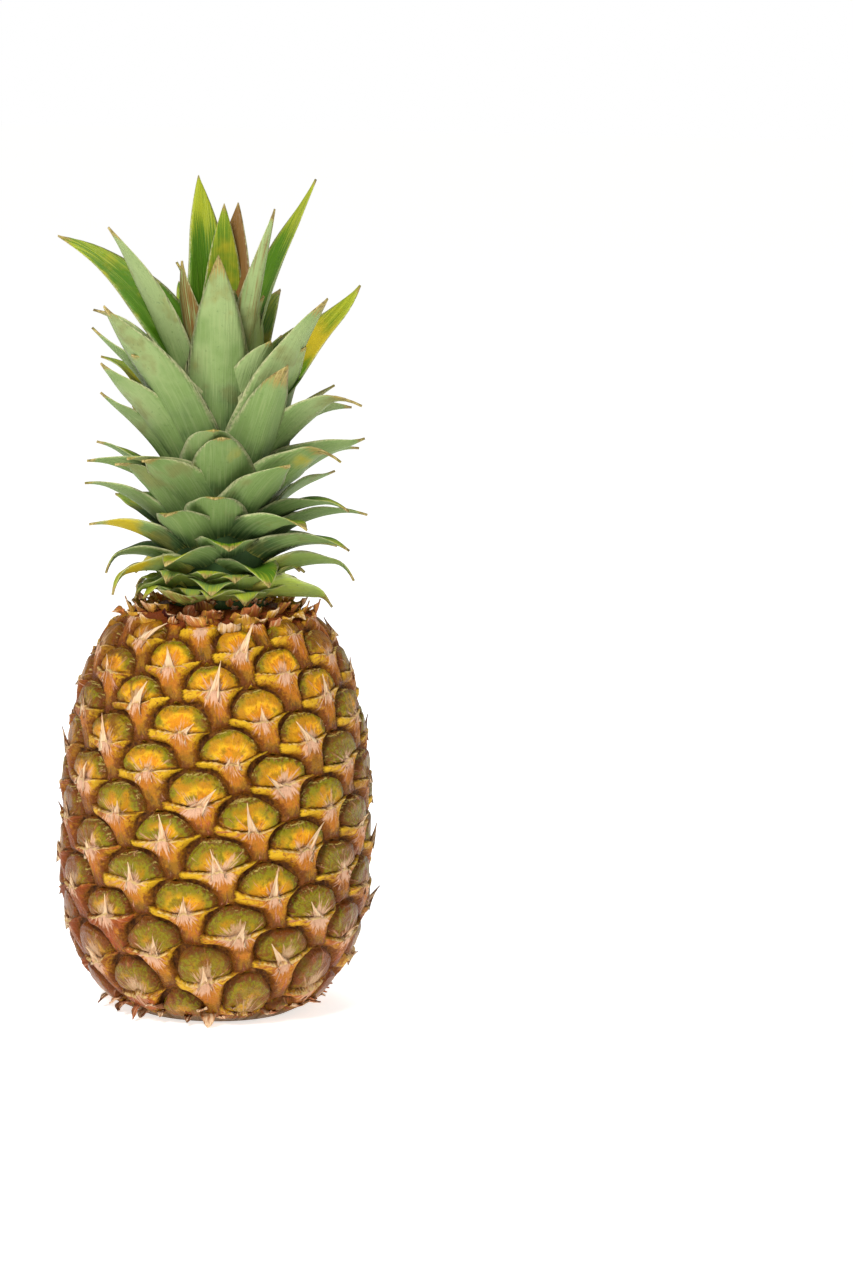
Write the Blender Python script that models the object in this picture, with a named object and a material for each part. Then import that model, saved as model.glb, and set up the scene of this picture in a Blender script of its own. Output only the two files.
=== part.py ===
"""A whole pineapple with its crown, standing on its foot.

Blender units are metres and +Z is up. The origin is the middle of the flat foot, and the front of the fruit
faces -Y, with +X to the right. Three pieces are modelled: the fruit with all its eyes, spines and collar
bracts, the leafy crown on top of it, and the cut end of the stalk in the foot. Run it with
blender --background --python part.py, or from the text editor.
"""
import math
import random

import bmesh
import bpy
import numpy as np

MM = 0.001

# Spiral that both the eyes and the crown leaves follow
GOLDEN_TURN = math.radians(-137.508)
SPIRAL_A = 8
SPIRAL_B = 13

# Fruit outline, millimetres, as the envelope that touches the highest points of the eyes
WIDEST_RADIUS = 62.1
WIDEST_HEIGHT = 58.0
FOOT_RADIUS = 34.0
FRUIT_TOP = 161.6
COLLAR_RADIUS = 20.0
LOWER_ROUNDING = (2.2, 0.70)
UPPER_ROUNDING = (2.5, 0.37)

# Eyes, millimetres
FRONT_EYE_HEIGHT = 108.4
FRONT_EYE_AZIMUTH = math.radians(5.7)
EYE_SPACING = 1.254
LOW_EYE_STRETCH = 1.75
LOWEST_EYE = -77.0
HIGHEST_EYE = 45.0
EYE_STEPS = 5
GROOVE_CROWDING = 0.5
EYE_BULGE = 0.07
GROOVE_DEPTH = 4.2
DOME_HEIGHT = 3.2
LIP_HEIGHT = 4.2
WING_HEIGHT = 1.6
RELIEF_FADE_HEIGHT = 9.0
SLOPE_REACH = 0.6

# Papery spines that rise from the middle of the bracts, millimetres and degrees
SPINE_LENGTHS = (6.0, 12.0)
SPINE_SECTION = (1.7, 0.7)
SPINE_SWING = 22.0
SPINE_LEANS = (22.0, 42.0)
SPINE_SINK = 1.2
SPINE_HEEL = 2.0
SPINE_CURL = 0.8
SPINE_SHARE = 0.5

# Dry bracts of the collar under the crown, millimetres and degrees
COLLAR_BRACTS = 34
COLLAR_HEIGHTS = (148.0, 161.2)
COLLAR_BRACT_LENGTHS = (6.0, 10.0)
COLLAR_BRACT_SECTION = (3.2, 0.8)
COLLAR_BRACT_SCATTER = 6.0
COLLAR_BRACT_TILTS = (38.0, 62.0)
COLLAR_BRACT_SWING = 0.25
COLLAR_BRACT_SINK = (3.5, 2.0)
COLLAR_BRACT_HEEL = 3.0
COLLAR_BRACT_CURL = -1.5

# Foot and the stalk end that sits in it, millimetres
STALK_HOLE_RADIUS = 9.8
STALK_HOLE_DEPTH = 6.0
PIECE_GAP = 0.3

# Crown, millimetres
CROWN_LEAVES = 88
CROWN_FIRST_AZIMUTH = math.radians(327.0)
CROWN_STEM = ((161.9, 20.0), (185.0, 19.5), (207.0, 16.5), (231.0, 10.0), (245.0, 2.0))
CROWN_STEM_SIDES = 14
LEAF_ROOTS = (163.2, 236.0)
LEAF_SCATTER = 5.0
LEAF_TURN_SCATTER = 8.0
LEAF_ROOT_REACH = 0.8
LEAF_BEND = 0.52
LEAF_BASE_WIDTH = 0.6
LEAF_FULL_WIDTH_AT = 0.35
LEAF_CHANNEL = (0.62, 0.28)
SHORT_LEAF_SHARE = 0.42
SHORT_LEAF_STATIONS = (0.0, 0.4, 0.75, 1.0)
LONG_LEAF_STATIONS = (0.0, 0.28, 0.55, 0.8, 1.0)
LEAF_THICKNESS = (2.2, 0.9)

# How the leaves change up the spiral, from share 0 for the lowest leaf to 1 for the highest, each as pairs of
# share and value: reach of the tip from the axis, height of the tip, width, and first lean from upright
LEAF_REACHES = ((0.0, 40.0), (0.2, 53.0), (0.75, 53.0), (1.0, 19.0))
LEAF_TIPS = ((0.0, 167.0), (0.25, 202.0), (0.5, 242.0), (0.7, 275.0), (1.0, 305.0))
LEAF_WIDTHS = ((0.0, 25.0), (0.5, 29.5), (0.85, 29.5), (1.0, 22.5))
LEAF_LEANS = ((0.0, 92.0), (0.05, 66.0), (0.1, 43.0), (0.25, 35.0), (0.5, 24.0), (0.75, 14.0), (1.0, 6.0))

# Leaves that the photograph places: number up the spiral, with the tip's azimuth from the front in degrees
# (right is positive), its reach from the axis and its height above the foot in millimetres
SEEN_TIPS = {
    2: (75, 46, 166), 3: (-75, 34, 168), 5: (-5, 36, 171), 7: (82, 54, 178), 8: (-68, 47, 172),
    10: (30, 39, 174), 11: (-88, 46, 179), 13: (-32, 40, 181), 15: (70, 54, 187), 16: (-80, 52, 194),
    18: (5, 40, 188), 20: (88, 58, 199), 21: (-27, 46, 202), 23: (42, 50, 197), 24: (-92, 53, 210),
    26: (-3, 42, 209), 28: (75, 52, 203), 29: (-62, 44, 221), 31: (35, 46, 221), 34: (-42, 44, 223),
    36: (58, 51, 228), 37: (-80, 53, 219), 39: (0, 42, 233), 41: (87, 57, 226), 42: (-55, 44, 222),
    44: (32, 46, 260), 45: (-97, 49, 243), 47: (-4, 43, 235), 49: (70, 54, 249), 50: (-74, 50, 256),
    52: (50, 52, 285), 54: (101, 52, 241), 55: (-55, 57, 279), 57: (52, 40, 266), 58: (-88, 52, 269),
    60: (-5, 22, 300), 62: (88, 56, 286), 63: (-55, 42, 262), 65: (37, 30, 268), 68: (-22, 18, 272),
    70: (62, 12, 295), 71: (-74, 46, 310), 73: (8, 14, 278), 75: (110, 24, 268), 76: (-60, 20, 297),
    77: (180, 12, 319), 78: (45, 28, 318), 79: (-112, 70, 306), 80: (124, 45, 328), 81: (-11, 10, 284),
    82: (-163, 36, 329), 83: (69, 16, 284), 84: (-60, 14, 284), 85: (165, 22, 319), 86: (29, 8, 286),
    87: (-118, 20, 296),
}

Z_AXIS = np.array((0.0, 0.0, 1.0))


def clear_scene():
    """Remove every object that the file opened with."""
    for thing in list(bpy.data.objects):
        bpy.data.objects.remove(thing, do_unlink=True)


def outward(azimuth):
    """Unit vector that points away from the axis, for an azimuth counted from the front towards +X."""
    return np.stack((np.sin(azimuth), -np.cos(azimuth), np.zeros_like(azimuth)), axis=-1)


def sideways(azimuth):
    """Unit vector along the surface towards growing azimuth."""
    return np.stack((np.cos(azimuth), np.sin(azimuth), np.zeros_like(azimuth)), axis=-1)


def fruit_radius(height):
    """Envelope radius at a height: a rounded lower bowl and a blunter shoulder."""
    low_power, low_root = LOWER_ROUNDING
    top_power, top_root = UPPER_ROUNDING
    below = np.clip((WIDEST_HEIGHT - height) / WIDEST_HEIGHT, 0.0, 1.0)
    above = np.clip((height - WIDEST_HEIGHT) / (FRUIT_TOP - WIDEST_HEIGHT), 0.0, 1.0)
    bowl = FOOT_RADIUS + (WIDEST_RADIUS - FOOT_RADIUS) * (1.0 - below ** low_power) ** low_root
    shoulder = COLLAR_RADIUS + (WIDEST_RADIUS - COLLAR_RADIUS) * (1.0 - above ** top_power) ** top_root
    return np.where(height < WIDEST_HEIGHT, bowl, shoulder)


def eye_scale():
    """Heights and the eye number reached at each, counted along the outline from the front eye."""
    half_turn = np.linspace(0.0, math.pi, 1201)
    heights = FRUIT_TOP * 0.5 * (1.0 - np.cos(half_turn))
    radii = fruit_radius(heights)
    run = np.hypot(np.diff(heights), np.diff(radii))
    middle = 0.5 * (heights[1:] + heights[:-1])
    mean_radius = 0.5 * (radii[1:] + radii[:-1])
    stretch = np.where(middle > WIDEST_HEIGHT, 1.0,
                       np.clip((WIDEST_RADIUS / mean_radius) ** 3, 1.0, LOW_EYE_STRETCH))
    numbers = np.concatenate(((0.0,), np.cumsum(run / (EYE_SPACING * stretch))))
    numbers -= np.interp(FRONT_EYE_HEIGHT, heights, numbers)
    return numbers, heights


EYE_NUMBERS, EYE_HEIGHTS = eye_scale()


def outline_point(number):
    """Radius, height and outward slope of the envelope at a fractional eye number."""
    height = np.interp(number, EYE_NUMBERS, EYE_HEIGHTS)
    low = np.interp(number - SLOPE_REACH, EYE_NUMBERS, EYE_HEIGHTS)
    high = np.interp(number + SLOPE_REACH, EYE_NUMBERS, EYE_HEIGHTS)
    rise = high - low
    widen = fruit_radius(high) - fruit_radius(low)
    length = np.hypot(rise, widen)
    return fruit_radius(height), height, rise / length, -widen / length


def crowd(share):
    """Spread evenly spaced shares of a cell towards its edges, where the grooves are."""
    return share + GROOVE_CROWDING * np.sin(2.0 * math.pi * share) / (2.0 * math.pi)


def eye_relief(a, b):
    """Height above the groove floor, in millimetres, inside one eye.

    a and b run from -0.5 to 0.5 along the two spirals. The upper half is a flat-topped dome with steep
    walls. The lower half is the fleshy bract: highest in the middle of its lip, drawn out into wings at
    the left and right corners, and falling away to the corner below.
    """
    across = b - a
    up = a + b
    edge = ((2.0 * np.abs(a)) ** 4 + (2.0 * np.abs(b)) ** 4) ** 0.25
    wall = 1.0 - np.clip(edge, 0.0, 1.0) ** 5
    dome = DOME_HEIGHT * wall
    down = np.clip(-up, 0.0, 1.0)
    room = np.clip(1.0 - down, 0.05, 1.0)
    flank = 1.0 - np.clip(np.abs(across) / room, 0.0, 1.0) ** 2.2
    wings = WING_HEIGHT * (1.0 - np.abs(across) ** 6) * np.clip(1.0 - down * 4.0, 0.0, 1.0)
    bract = np.maximum(LIP_HEIGHT * flank * (1.0 - down ** 1.4), wings)
    return np.where(up > 0.02, dome, bract)


def lattice_place(a, b, number):
    """World position in millimetres of the point (a, b) of the eye with this number."""
    bulge_a = EYE_BULGE * np.cos(math.pi * b) ** 2 * np.sin(math.pi * a) ** 2
    bulge_b = EYE_BULGE * np.cos(math.pi * a) ** 2 * np.sin(math.pi * b) ** 2
    along_a = a + bulge_a
    along_b = b + bulge_b
    turn_a = SPIRAL_A * GOLDEN_TURN + 3 * 2.0 * math.pi
    turn_b = SPIRAL_B * GOLDEN_TURN + 5 * 2.0 * math.pi
    azimuth = FRONT_EYE_AZIMUTH + number * GOLDEN_TURN + along_a * turn_a + along_b * turn_b
    place = number + SPIRAL_A * along_a + SPIRAL_B * along_b
    radius, height, face_out, face_up = outline_point(place)
    fade = np.clip(height / RELIEF_FADE_HEIGHT, 0.0, 1.0)
    cut = (GROOVE_DEPTH - eye_relief(a, b)) * fade
    radius = radius - cut * face_out
    height = np.maximum(height - cut * face_up, 0.0)
    return outward(azimuth) * radius[..., None] + Z_AXIS * height[..., None]


def new_object(name, vertices, faces):
    """Put points in millimetres and their faces into a new object in the scene."""
    mesh = bpy.data.meshes.new(name)
    mesh.from_pydata((np.asarray(vertices) * MM).tolist(), [], faces)
    mesh.update()
    thing = bpy.data.objects.new(name, mesh)
    bpy.context.scene.collection.objects.link(thing)
    return thing


def finish_material(name, colour, roughness):
    """A plain Principled material with one colour."""
    material = bpy.data.materials.new(name)
    material.use_nodes = True
    shader = material.node_tree.nodes["Principled BSDF"]
    shader.inputs["Base Color"].default_value = (*colour, 1.0)
    shader.inputs["Roughness"].default_value = roughness
    shader.inputs["Metallic"].default_value = 0.0
    return material


def fruit_skin():
    """Vertices and faces of the closed skin, with every eye as a small grid between the spirals."""
    steps = EYE_STEPS
    corners = {}
    faces = []

    def corner(number, i, j):
        if i == steps:
            number, i = number + SPIRAL_A, 0
        if j == steps:
            number, j = number + SPIRAL_B, 0
        return corners.setdefault((number, i, j), len(corners))

    first = int(LOWEST_EYE) - SPIRAL_A - SPIRAL_B
    last = int(HIGHEST_EYE) + SPIRAL_A + SPIRAL_B
    for number in range(first, last):
        for i in range(steps):
            for j in range(steps):
                lowest = number + SPIRAL_A * (i / steps - 0.5) + SPIRAL_B * (j / steps - 0.5)
                highest = lowest + (SPIRAL_A + SPIRAL_B) / steps
                if lowest < LOWEST_EYE or highest > HIGHEST_EYE:
                    continue
                low = corner(number, i, j)
                left = corner(number, i + 1, j)
                high = corner(number, i + 1, j + 1)
                right = corner(number, i, j + 1)
                faces.append((low, right, left))
                faces.append((right, high, left))
    keys = np.array(list(corners.keys()), dtype=float)
    a = crowd(keys[:, 1] / steps - 0.5)
    b = crowd(keys[:, 2] / steps - 0.5)
    return lattice_place(a, b, keys[:, 0]), faces


def close_end(skin, edges, radius, height):
    """Carry an open rim of the skin to a level circle and close that with one flat face."""
    rim = bmesh.ops.extrude_edge_only(skin, edges=edges)["geom"]
    circle = [part for part in rim if isinstance(part, bmesh.types.BMVert)]
    for point in circle:
        scale = radius * MM / math.hypot(point.co.x, point.co.y)
        point.co = (point.co.x * scale, point.co.y * scale, height * MM)
    circle_edges = [part for part in rim if isinstance(part, bmesh.types.BMEdge) and part.is_boundary]
    bmesh.ops.contextual_create(skin, geom=circle_edges)


def spike(root, along, width_way, length, section, heel_depth, curl):
    """Vertices and faces of a four-sided spike.

    section is its half width and half thickness. Its heel lies heel_depth behind the root point, and its tip
    curls by curl across its thickness.
    """
    half_width, half_thickness = section
    along = along / np.linalg.norm(along)
    width_way = width_way - along * np.dot(width_way, along)
    width_way = width_way / np.linalg.norm(width_way)
    thick_way = np.cross(along, width_way)
    heel = root - along * heel_depth
    tip = root + along * length + thick_way * curl
    ring = ((1.0, 0.0), (0.0, 1.0), (-1.0, 0.0), (0.0, -1.0))
    points = [heel + width_way * half_width * x + thick_way * half_thickness * y for x, y in ring]
    points.append(tip)
    faces = [(3, 2, 1, 0)]
    for side in range(4):
        faces.append((side, (side + 1) % 4, 4))
    return np.array(points), faces


def eye_spines(draw):
    """The papery spines of the eyes, as a list of spikes."""
    spikes = []
    for number in range(int(LOWEST_EYE) + 8, int(HIGHEST_EYE) - 6):
        chance = draw.random()
        length = draw.uniform(*SPINE_LENGTHS)
        swing = math.radians(draw.uniform(-SPINE_SWING, SPINE_SWING))
        lean = math.radians(draw.uniform(*SPINE_LEANS))
        if chance > SPINE_SHARE:
            continue
        azimuth = FRONT_EYE_AZIMUTH + number * GOLDEN_TURN
        radius, height, face_out, face_up = outline_point(np.array(float(number)))
        out = outward(np.array(azimuth))
        side = sideways(np.array(azimuth))
        normal = out * face_out + Z_AXIS * face_up
        rise = Z_AXIS * face_out - out * face_up
        root = out * radius + Z_AXIS * height - normal * SPINE_SINK
        along = (rise * math.cos(swing) + side * math.sin(swing)) * math.cos(lean) + normal * math.sin(lean)
        spikes.append(spike(root, along, side, length, SPINE_SECTION, SPINE_HEEL, SPINE_CURL))
    return spikes


def collar_bracts(draw):
    """The dry pointed bracts round the shoulder, leaning out from under the crown."""
    spikes = []
    sink_in, sink_down = COLLAR_BRACT_SINK
    for number in range(COLLAR_BRACTS):
        share = (number + 0.5) / COLLAR_BRACTS
        height = COLLAR_HEIGHTS[0] + (COLLAR_HEIGHTS[1] - COLLAR_HEIGHTS[0]) * share ** 0.6
        scatter = math.radians(draw.uniform(-COLLAR_BRACT_SCATTER, COLLAR_BRACT_SCATTER))
        azimuth = FRONT_EYE_AZIMUTH + number * GOLDEN_TURN + scatter
        radius = float(fruit_radius(np.array(height)))
        out = outward(np.array(azimuth))
        side = sideways(np.array(azimuth))
        tilt = math.radians(draw.uniform(*COLLAR_BRACT_TILTS))
        swing = draw.uniform(-COLLAR_BRACT_SWING, COLLAR_BRACT_SWING)
        along = out * math.cos(tilt) + Z_AXIS * math.sin(tilt) + side * swing
        root = out * (radius - sink_in) + Z_AXIS * (height - sink_down)
        length = draw.uniform(*COLLAR_BRACT_LENGTHS) * (1.0 - 0.35 * share)
        spikes.append(spike(root, along, side, length, COLLAR_BRACT_SECTION, COLLAR_BRACT_HEEL,
                            COLLAR_BRACT_CURL))
    return spikes


def turned_solid(name, rings, sides):
    """A closed turned solid from (height, radius) rings, bottom to top."""
    angles = np.linspace(0.0, 2.0 * math.pi, sides, endpoint=False)
    rows = [outward(angles) * radius + Z_AXIS * height for height, radius in rings]
    faces = [tuple(range(sides - 1, -1, -1))]
    for row in range(len(rings) - 1):
        for side in range(sides):
            after = (side + 1) % sides
            low, high = row * sides, (row + 1) * sides
            faces.append((low + side, low + after, high + after, high + side))
    top = (len(rings) - 1) * sides
    faces.append(tuple(range(top, top + sides)))
    return new_object(name, np.concatenate(rows), faces)


def join_pieces(body, pieces, cutters=()):
    """Unite a body with its pieces and cut the cutters from it, then drop loose and sealed scraps."""
    groups = (("UNION", pieces), ("DIFFERENCE", cutters))
    for operation, members in groups:
        if not members:
            continue
        group = bpy.data.collections.new(body.name + "_" + operation.lower())
        bpy.context.scene.collection.children.link(group)
        for member in members:
            bpy.context.scene.collection.objects.unlink(member)
            group.objects.link(member)
        boolean = body.modifiers.new(operation.title(), "BOOLEAN")
        boolean.operation = operation
        boolean.operand_type = "COLLECTION"
        boolean.collection = group
        boolean.solver = "EXACT"
        bpy.context.view_layer.update()
        graph = bpy.context.evaluated_depsgraph_get()
        joined = bpy.data.meshes.new_from_object(body.evaluated_get(graph))
        body.modifiers.remove(boolean)
        plain = body.data
        body.data = joined
        joined.name = body.name
        bpy.data.meshes.remove(plain)
        for member in list(group.objects):
            bpy.data.objects.remove(member, do_unlink=True)
        bpy.data.collections.remove(group)
    keep_largest_shell(body)


def keep_largest_shell(body):
    """Keep the outer shell alone, which fills sealed hollows and drops loose scraps."""
    shape = bmesh.new()
    shape.from_mesh(body.data)
    bmesh.ops.remove_doubles(shape, verts=shape.verts, dist=0.001 * MM)
    bmesh.ops.triangulate(shape, faces=shape.faces)
    waiting = set(shape.faces)
    shells = []
    while waiting:
        shell = {waiting.pop()}
        frontier = list(shell)
        while frontier:
            face = frontier.pop()
            for edge in face.edges:
                for other in edge.link_faces:
                    if other in waiting:
                        waiting.remove(other)
                        shell.add(other)
                        frontier.append(other)
        shells.append(shell)
    shells.sort(key=len, reverse=True)
    scraps = [face for shell in shells[1:] for face in shell]
    bmesh.ops.delete(shape, geom=scraps, context="FACES")
    shape.to_mesh(body.data)
    shape.free()
    body.data.update()


def make_fruit():
    """The fruit: skin with its eyes, spines, collar bracts, flat foot and the hole of the stalk."""
    vertices, faces = fruit_skin()
    fruit = new_object("fruit", vertices, faces)
    skin = bmesh.new()
    skin.from_mesh(fruit.data)
    rims = [edge for edge in skin.edges if edge.is_boundary]
    low_rim = [edge for edge in rims if edge.verts[0].co.z < WIDEST_HEIGHT * MM]
    high_rim = [edge for edge in rims if edge.verts[0].co.z >= WIDEST_HEIGHT * MM]
    close_end(skin, low_rim, FOOT_RADIUS - 1.5, 0.0)
    close_end(skin, high_rim, COLLAR_RADIUS + 2.0, FRUIT_TOP)
    bmesh.ops.recalc_face_normals(skin, faces=skin.faces)
    skin.to_mesh(fruit.data)
    skin.free()
    draw = random.Random(7)
    pieces = [new_object("spine", *shape) for shape in eye_spines(draw)]
    pieces += [new_object("collar_bract", *shape) for shape in collar_bracts(draw)]
    hole = turned_solid("stalk_hole", ((-5.0, STALK_HOLE_RADIUS), (STALK_HOLE_DEPTH, STALK_HOLE_RADIUS)), 16)
    join_pieces(fruit, pieces, [hole])
    fruit.data.materials.clear()
    fruit.data.materials.append(finish_material("pineapple_rind", (0.42, 0.22, 0.04), 0.45))
    return fruit


def up_the_spiral(table, share):
    """Value of one of the leaf tables at a share of the way up the spiral."""
    shares, values = zip(*table)
    return float(np.interp(share, shares, values))


def crown_stem_radius(height):
    """Radius of the crown's short stem at a height."""
    heights, radii = zip(*CROWN_STEM)
    return float(np.interp(height, heights, radii))


def crown_leaf(number, draw):
    """Vertices and faces of one channelled leaf on an arched midrib."""
    share = number / (CROWN_LEAVES - 1)
    azimuth = CROWN_FIRST_AZIMUTH + number * GOLDEN_TURN
    root = LEAF_ROOTS[0] + (LEAF_ROOTS[1] - LEAF_ROOTS[0]) * share
    width = up_the_spiral(LEAF_WIDTHS, share)
    reach = up_the_spiral(LEAF_REACHES, share) + draw.uniform(-LEAF_SCATTER, LEAF_SCATTER)
    tip = up_the_spiral(LEAF_TIPS, share) + draw.uniform(-LEAF_SCATTER, LEAF_SCATTER)
    tip_azimuth = azimuth + math.radians(draw.uniform(-LEAF_TURN_SCATTER, LEAF_TURN_SCATTER))
    if number in SEEN_TIPS:
        seen_azimuth, reach, tip = SEEN_TIPS[number]
        tip_azimuth = math.radians(seen_azimuth)
        offset = math.remainder(azimuth - tip_azimuth, 2.0 * math.pi)
        azimuth = tip_azimuth + 0.5 * offset
    first_lean = math.radians(up_the_spiral(LEAF_LEANS, share))
    root_out = LEAF_ROOT_REACH * crown_stem_radius(root)
    start = outward(np.array(azimuth)) * root_out + Z_AXIS * root
    end = outward(np.array(tip_azimuth)) * reach + Z_AXIS * tip
    middle_azimuth = 0.5 * (azimuth + tip_azimuth)
    leaving = outward(np.array(middle_azimuth)) * math.sin(first_lean) + Z_AXIS * math.cos(first_lean)
    bend = start + leaving * (LEAF_BEND * np.linalg.norm(end - start))
    stations = SHORT_LEAF_STATIONS if share < SHORT_LEAF_SHARE else LONG_LEAF_STATIONS
    along = np.array(stations)[:, None]
    spine = start * (1 - along) ** 2 + bend * 2 * along * (1 - along) + end * along ** 2
    tangent = (bend - start) * (1 - along) + (end - bend) * along
    tangent /= np.linalg.norm(tangent, axis=1)[:, None]
    side = sideways(np.array(middle_azimuth))
    inner = np.cross(tangent, side)
    inner /= np.linalg.norm(inner, axis=1)[:, None]
    along = along[:, 0]
    opening = np.sin(0.5 * math.pi * np.clip(along / LEAF_FULL_WIDTH_AT, 0.0, 1.0))
    swell = LEAF_BASE_WIDTH + (1.0 - LEAF_BASE_WIDTH) * opening
    half_width = 0.5 * width * swell * (1.0 - along ** 2.5) ** 0.95
    channel = half_width * (LEAF_CHANNEL[0] + (LEAF_CHANNEL[1] - LEAF_CHANNEL[0]) * along)
    thickness = LEAF_THICKNESS[0] + (LEAF_THICKNESS[1] - LEAF_THICKNESS[0]) * along
    points = []
    for row in range(len(along) - 1):
        points.append(spine[row] - side * half_width[row] + inner[row] * channel[row])
        points.append(spine[row])
        points.append(spine[row] + side * half_width[row] + inner[row] * channel[row])
        points.append(spine[row] + inner[row] * thickness[row])
    points.append(spine[-1])
    faces = [(0, 1, 2, 3)]
    rows = len(along) - 1
    for row in range(rows - 1):
        for corner in range(4):
            after = (corner + 1) % 4
            low, high = row * 4, (row + 1) * 4
            if corner in (0, 3):
                faces.append((low + corner, high + corner, high + after))
                faces.append((low + corner, high + after, low + after))
            else:
                faces.append((low + corner, high + corner, low + after))
                faces.append((low + after, high + corner, high + after))
    top = (rows - 1) * 4
    for corner in range(4):
        faces.append((top + corner, len(points) - 1, top + (corner + 1) % 4))
    return np.array(points), faces


def make_crown():
    """The crown: a short tapered stem with its leaves up the golden spiral."""
    draw = random.Random(23)
    crown = turned_solid("crown", CROWN_STEM, CROWN_STEM_SIDES)
    leaves = []
    for number in range(CROWN_LEAVES):
        leaf = new_object("leaf", *crown_leaf(number, draw))
        shape = bmesh.new()
        shape.from_mesh(leaf.data)
        bmesh.ops.recalc_face_normals(shape, faces=shape.faces)
        shape.to_mesh(leaf.data)
        shape.free()
        leaves.append(leaf)
    join_pieces(crown, leaves)
    crown.data.materials.clear()
    crown.data.materials.append(finish_material("pineapple_leaf", (0.10, 0.22, 0.07), 0.5))
    return crown


def make_stalk_stub():
    """The cut end of the stalk, flush with the foot."""
    radius = STALK_HOLE_RADIUS - PIECE_GAP
    stub = turned_solid("stalk_stub", ((0.0, radius), (STALK_HOLE_DEPTH - PIECE_GAP, radius)), 16)
    stub.data.materials.append(finish_material("cut_stalk", (0.45, 0.33, 0.17), 0.8))
    return stub


def main():
    """Build the three pieces."""
    clear_scene()
    make_fruit()
    make_crown()
    make_stalk_stub()


main()
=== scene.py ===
"""A whole pineapple with its crown, dressed for a plain studio picture.

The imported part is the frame: metres, +Z up, origin in the middle of the foot, front of the fruit at -Y.
Shapes are worked out in millimetres as numpy arrays and become metres when they enter a mesh. Azimuths are
counted from the front, positive towards +X.
"""
import logging
import math
import random
from dataclasses import dataclass, field
from enum import Enum
from typing import Any

import bpy
import numpy as np
from numpy.typing import NDArray
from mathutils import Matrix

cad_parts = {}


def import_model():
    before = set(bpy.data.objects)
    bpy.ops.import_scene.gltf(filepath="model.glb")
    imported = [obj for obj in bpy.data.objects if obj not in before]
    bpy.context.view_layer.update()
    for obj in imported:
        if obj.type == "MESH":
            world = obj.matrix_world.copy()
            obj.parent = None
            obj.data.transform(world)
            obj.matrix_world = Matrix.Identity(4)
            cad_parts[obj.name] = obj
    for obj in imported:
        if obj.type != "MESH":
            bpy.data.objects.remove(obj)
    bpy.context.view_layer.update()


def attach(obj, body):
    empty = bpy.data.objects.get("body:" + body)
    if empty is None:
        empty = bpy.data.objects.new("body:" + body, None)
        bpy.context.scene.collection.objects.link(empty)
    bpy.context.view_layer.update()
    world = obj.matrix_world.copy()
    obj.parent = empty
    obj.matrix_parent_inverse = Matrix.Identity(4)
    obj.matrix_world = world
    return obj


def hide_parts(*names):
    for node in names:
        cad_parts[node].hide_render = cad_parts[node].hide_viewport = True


Array = NDArray[np.float64]
Table = tuple[tuple[float, float], ...]
Socket = bpy.types.NodeSocket
LOG = logging.getLogger("pineapple")

MM = 0.001
TAU = 2.0 * math.pi
UP = np.array((0.0, 0.0, 1.0))

# Spiral that the eyes of the fruit and the leaves of the crown share
GOLDEN_TURN = math.radians(-137.508)

# The photograph, in pixels, and the camera that takes the part at its angle
PHOTO_HEIGHT = 1280
FOCAL_PIXELS = 4000.0
SENSOR_MM = 36.0
CAMERA_PLACE = (0.0, -1.5732, 0.36668)
CAMERA_TURN = (82.1, -1.122, -2.846)


class Slot(str, Enum):
    """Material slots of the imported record."""

    RIND = "rind"
    LEAF = "leaf"
    STALK = "cut_stalk"


def clamp(value: Array, low: float = 0.0, high: float = 1.0) -> Array:
    """Keep values between low and high."""
    return np.clip(value, low, high)


def ease(value: Array, start: float, end: float) -> Array:
    """Rise smoothly from 0 at start to 1 at end: 3t squared minus 2t cubed of the share t between them."""
    share = clamp((np.asarray(value, dtype=float) - start) / (end - start))
    return share * share * (3.0 - 2.0 * share)


def hump(value: Array, centre: float, width: float) -> Array:
    """A bell of height 1: e to the minus square of the distance from centre, counted in widths."""
    return np.exp(-(((value - centre) / width) ** 2))


def outward(azimuth: Array) -> Array:
    """Unit vectors that point away from the axis."""
    azimuth = np.asarray(azimuth, dtype=float)
    return np.stack((np.sin(azimuth), -np.cos(azimuth), np.zeros_like(azimuth)), axis=-1)


def sideways(azimuth: Array) -> Array:
    """Unit vectors round the axis, towards growing azimuth."""
    azimuth = np.asarray(azimuth, dtype=float)
    return np.stack((np.cos(azimuth), np.sin(azimuth), np.zeros_like(azimuth)), axis=-1)


def unit(vectors: Array) -> Array:
    """Scale vectors to length 1."""
    return vectors / np.linalg.norm(vectors, axis=-1, keepdims=True)


def ripple(points: Array, wavelength: float, seed: int) -> Array:
    """Smooth unevenness, about -1 to 1: the mean of nine sine waves of one wavelength in random directions.

    Args:
        points: places, shape (..., 3), in the same unit as wavelength.
        wavelength: distance between crests.
        seed: picks the directions and the phases.

    Returns:
        One value a place.
    """
    draw = np.random.default_rng(seed)
    directions = unit(draw.normal(size=(9, 3)))
    phases = draw.uniform(0.0, TAU, 9)
    return 1.9 * np.sin(points @ directions.T * (TAU / wavelength) + phases).mean(axis=-1)


def linear(code: str) -> tuple[float, float, float, float]:
    """Turn an sRGB hex colour such as #C08040 into linear values with an alpha of 1.

    Args:
        code: the colour.

    Returns:
        Red, green, blue and alpha, 0 to 1.
    """
    shares = [int(code[start:start + 2], 16) / 255.0 for start in (1, 3, 5)]
    light = [s / 12.92 if s <= 0.04045 else ((s + 0.055) / 1.055) ** 2.4 for s in shares]
    return (light[0], light[1], light[2], 1.0)


def per_metre(size_mm: float) -> float:
    """Texture scale at which one feature is about size_mm across."""
    return 1.0 / (size_mm * MM)


# Inputs and output of the Mix node when it mixes colours
MIX_SHARE, MIX_FROM, MIX_TO, MIX_OUT = 0, 6, 7, 2


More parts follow.
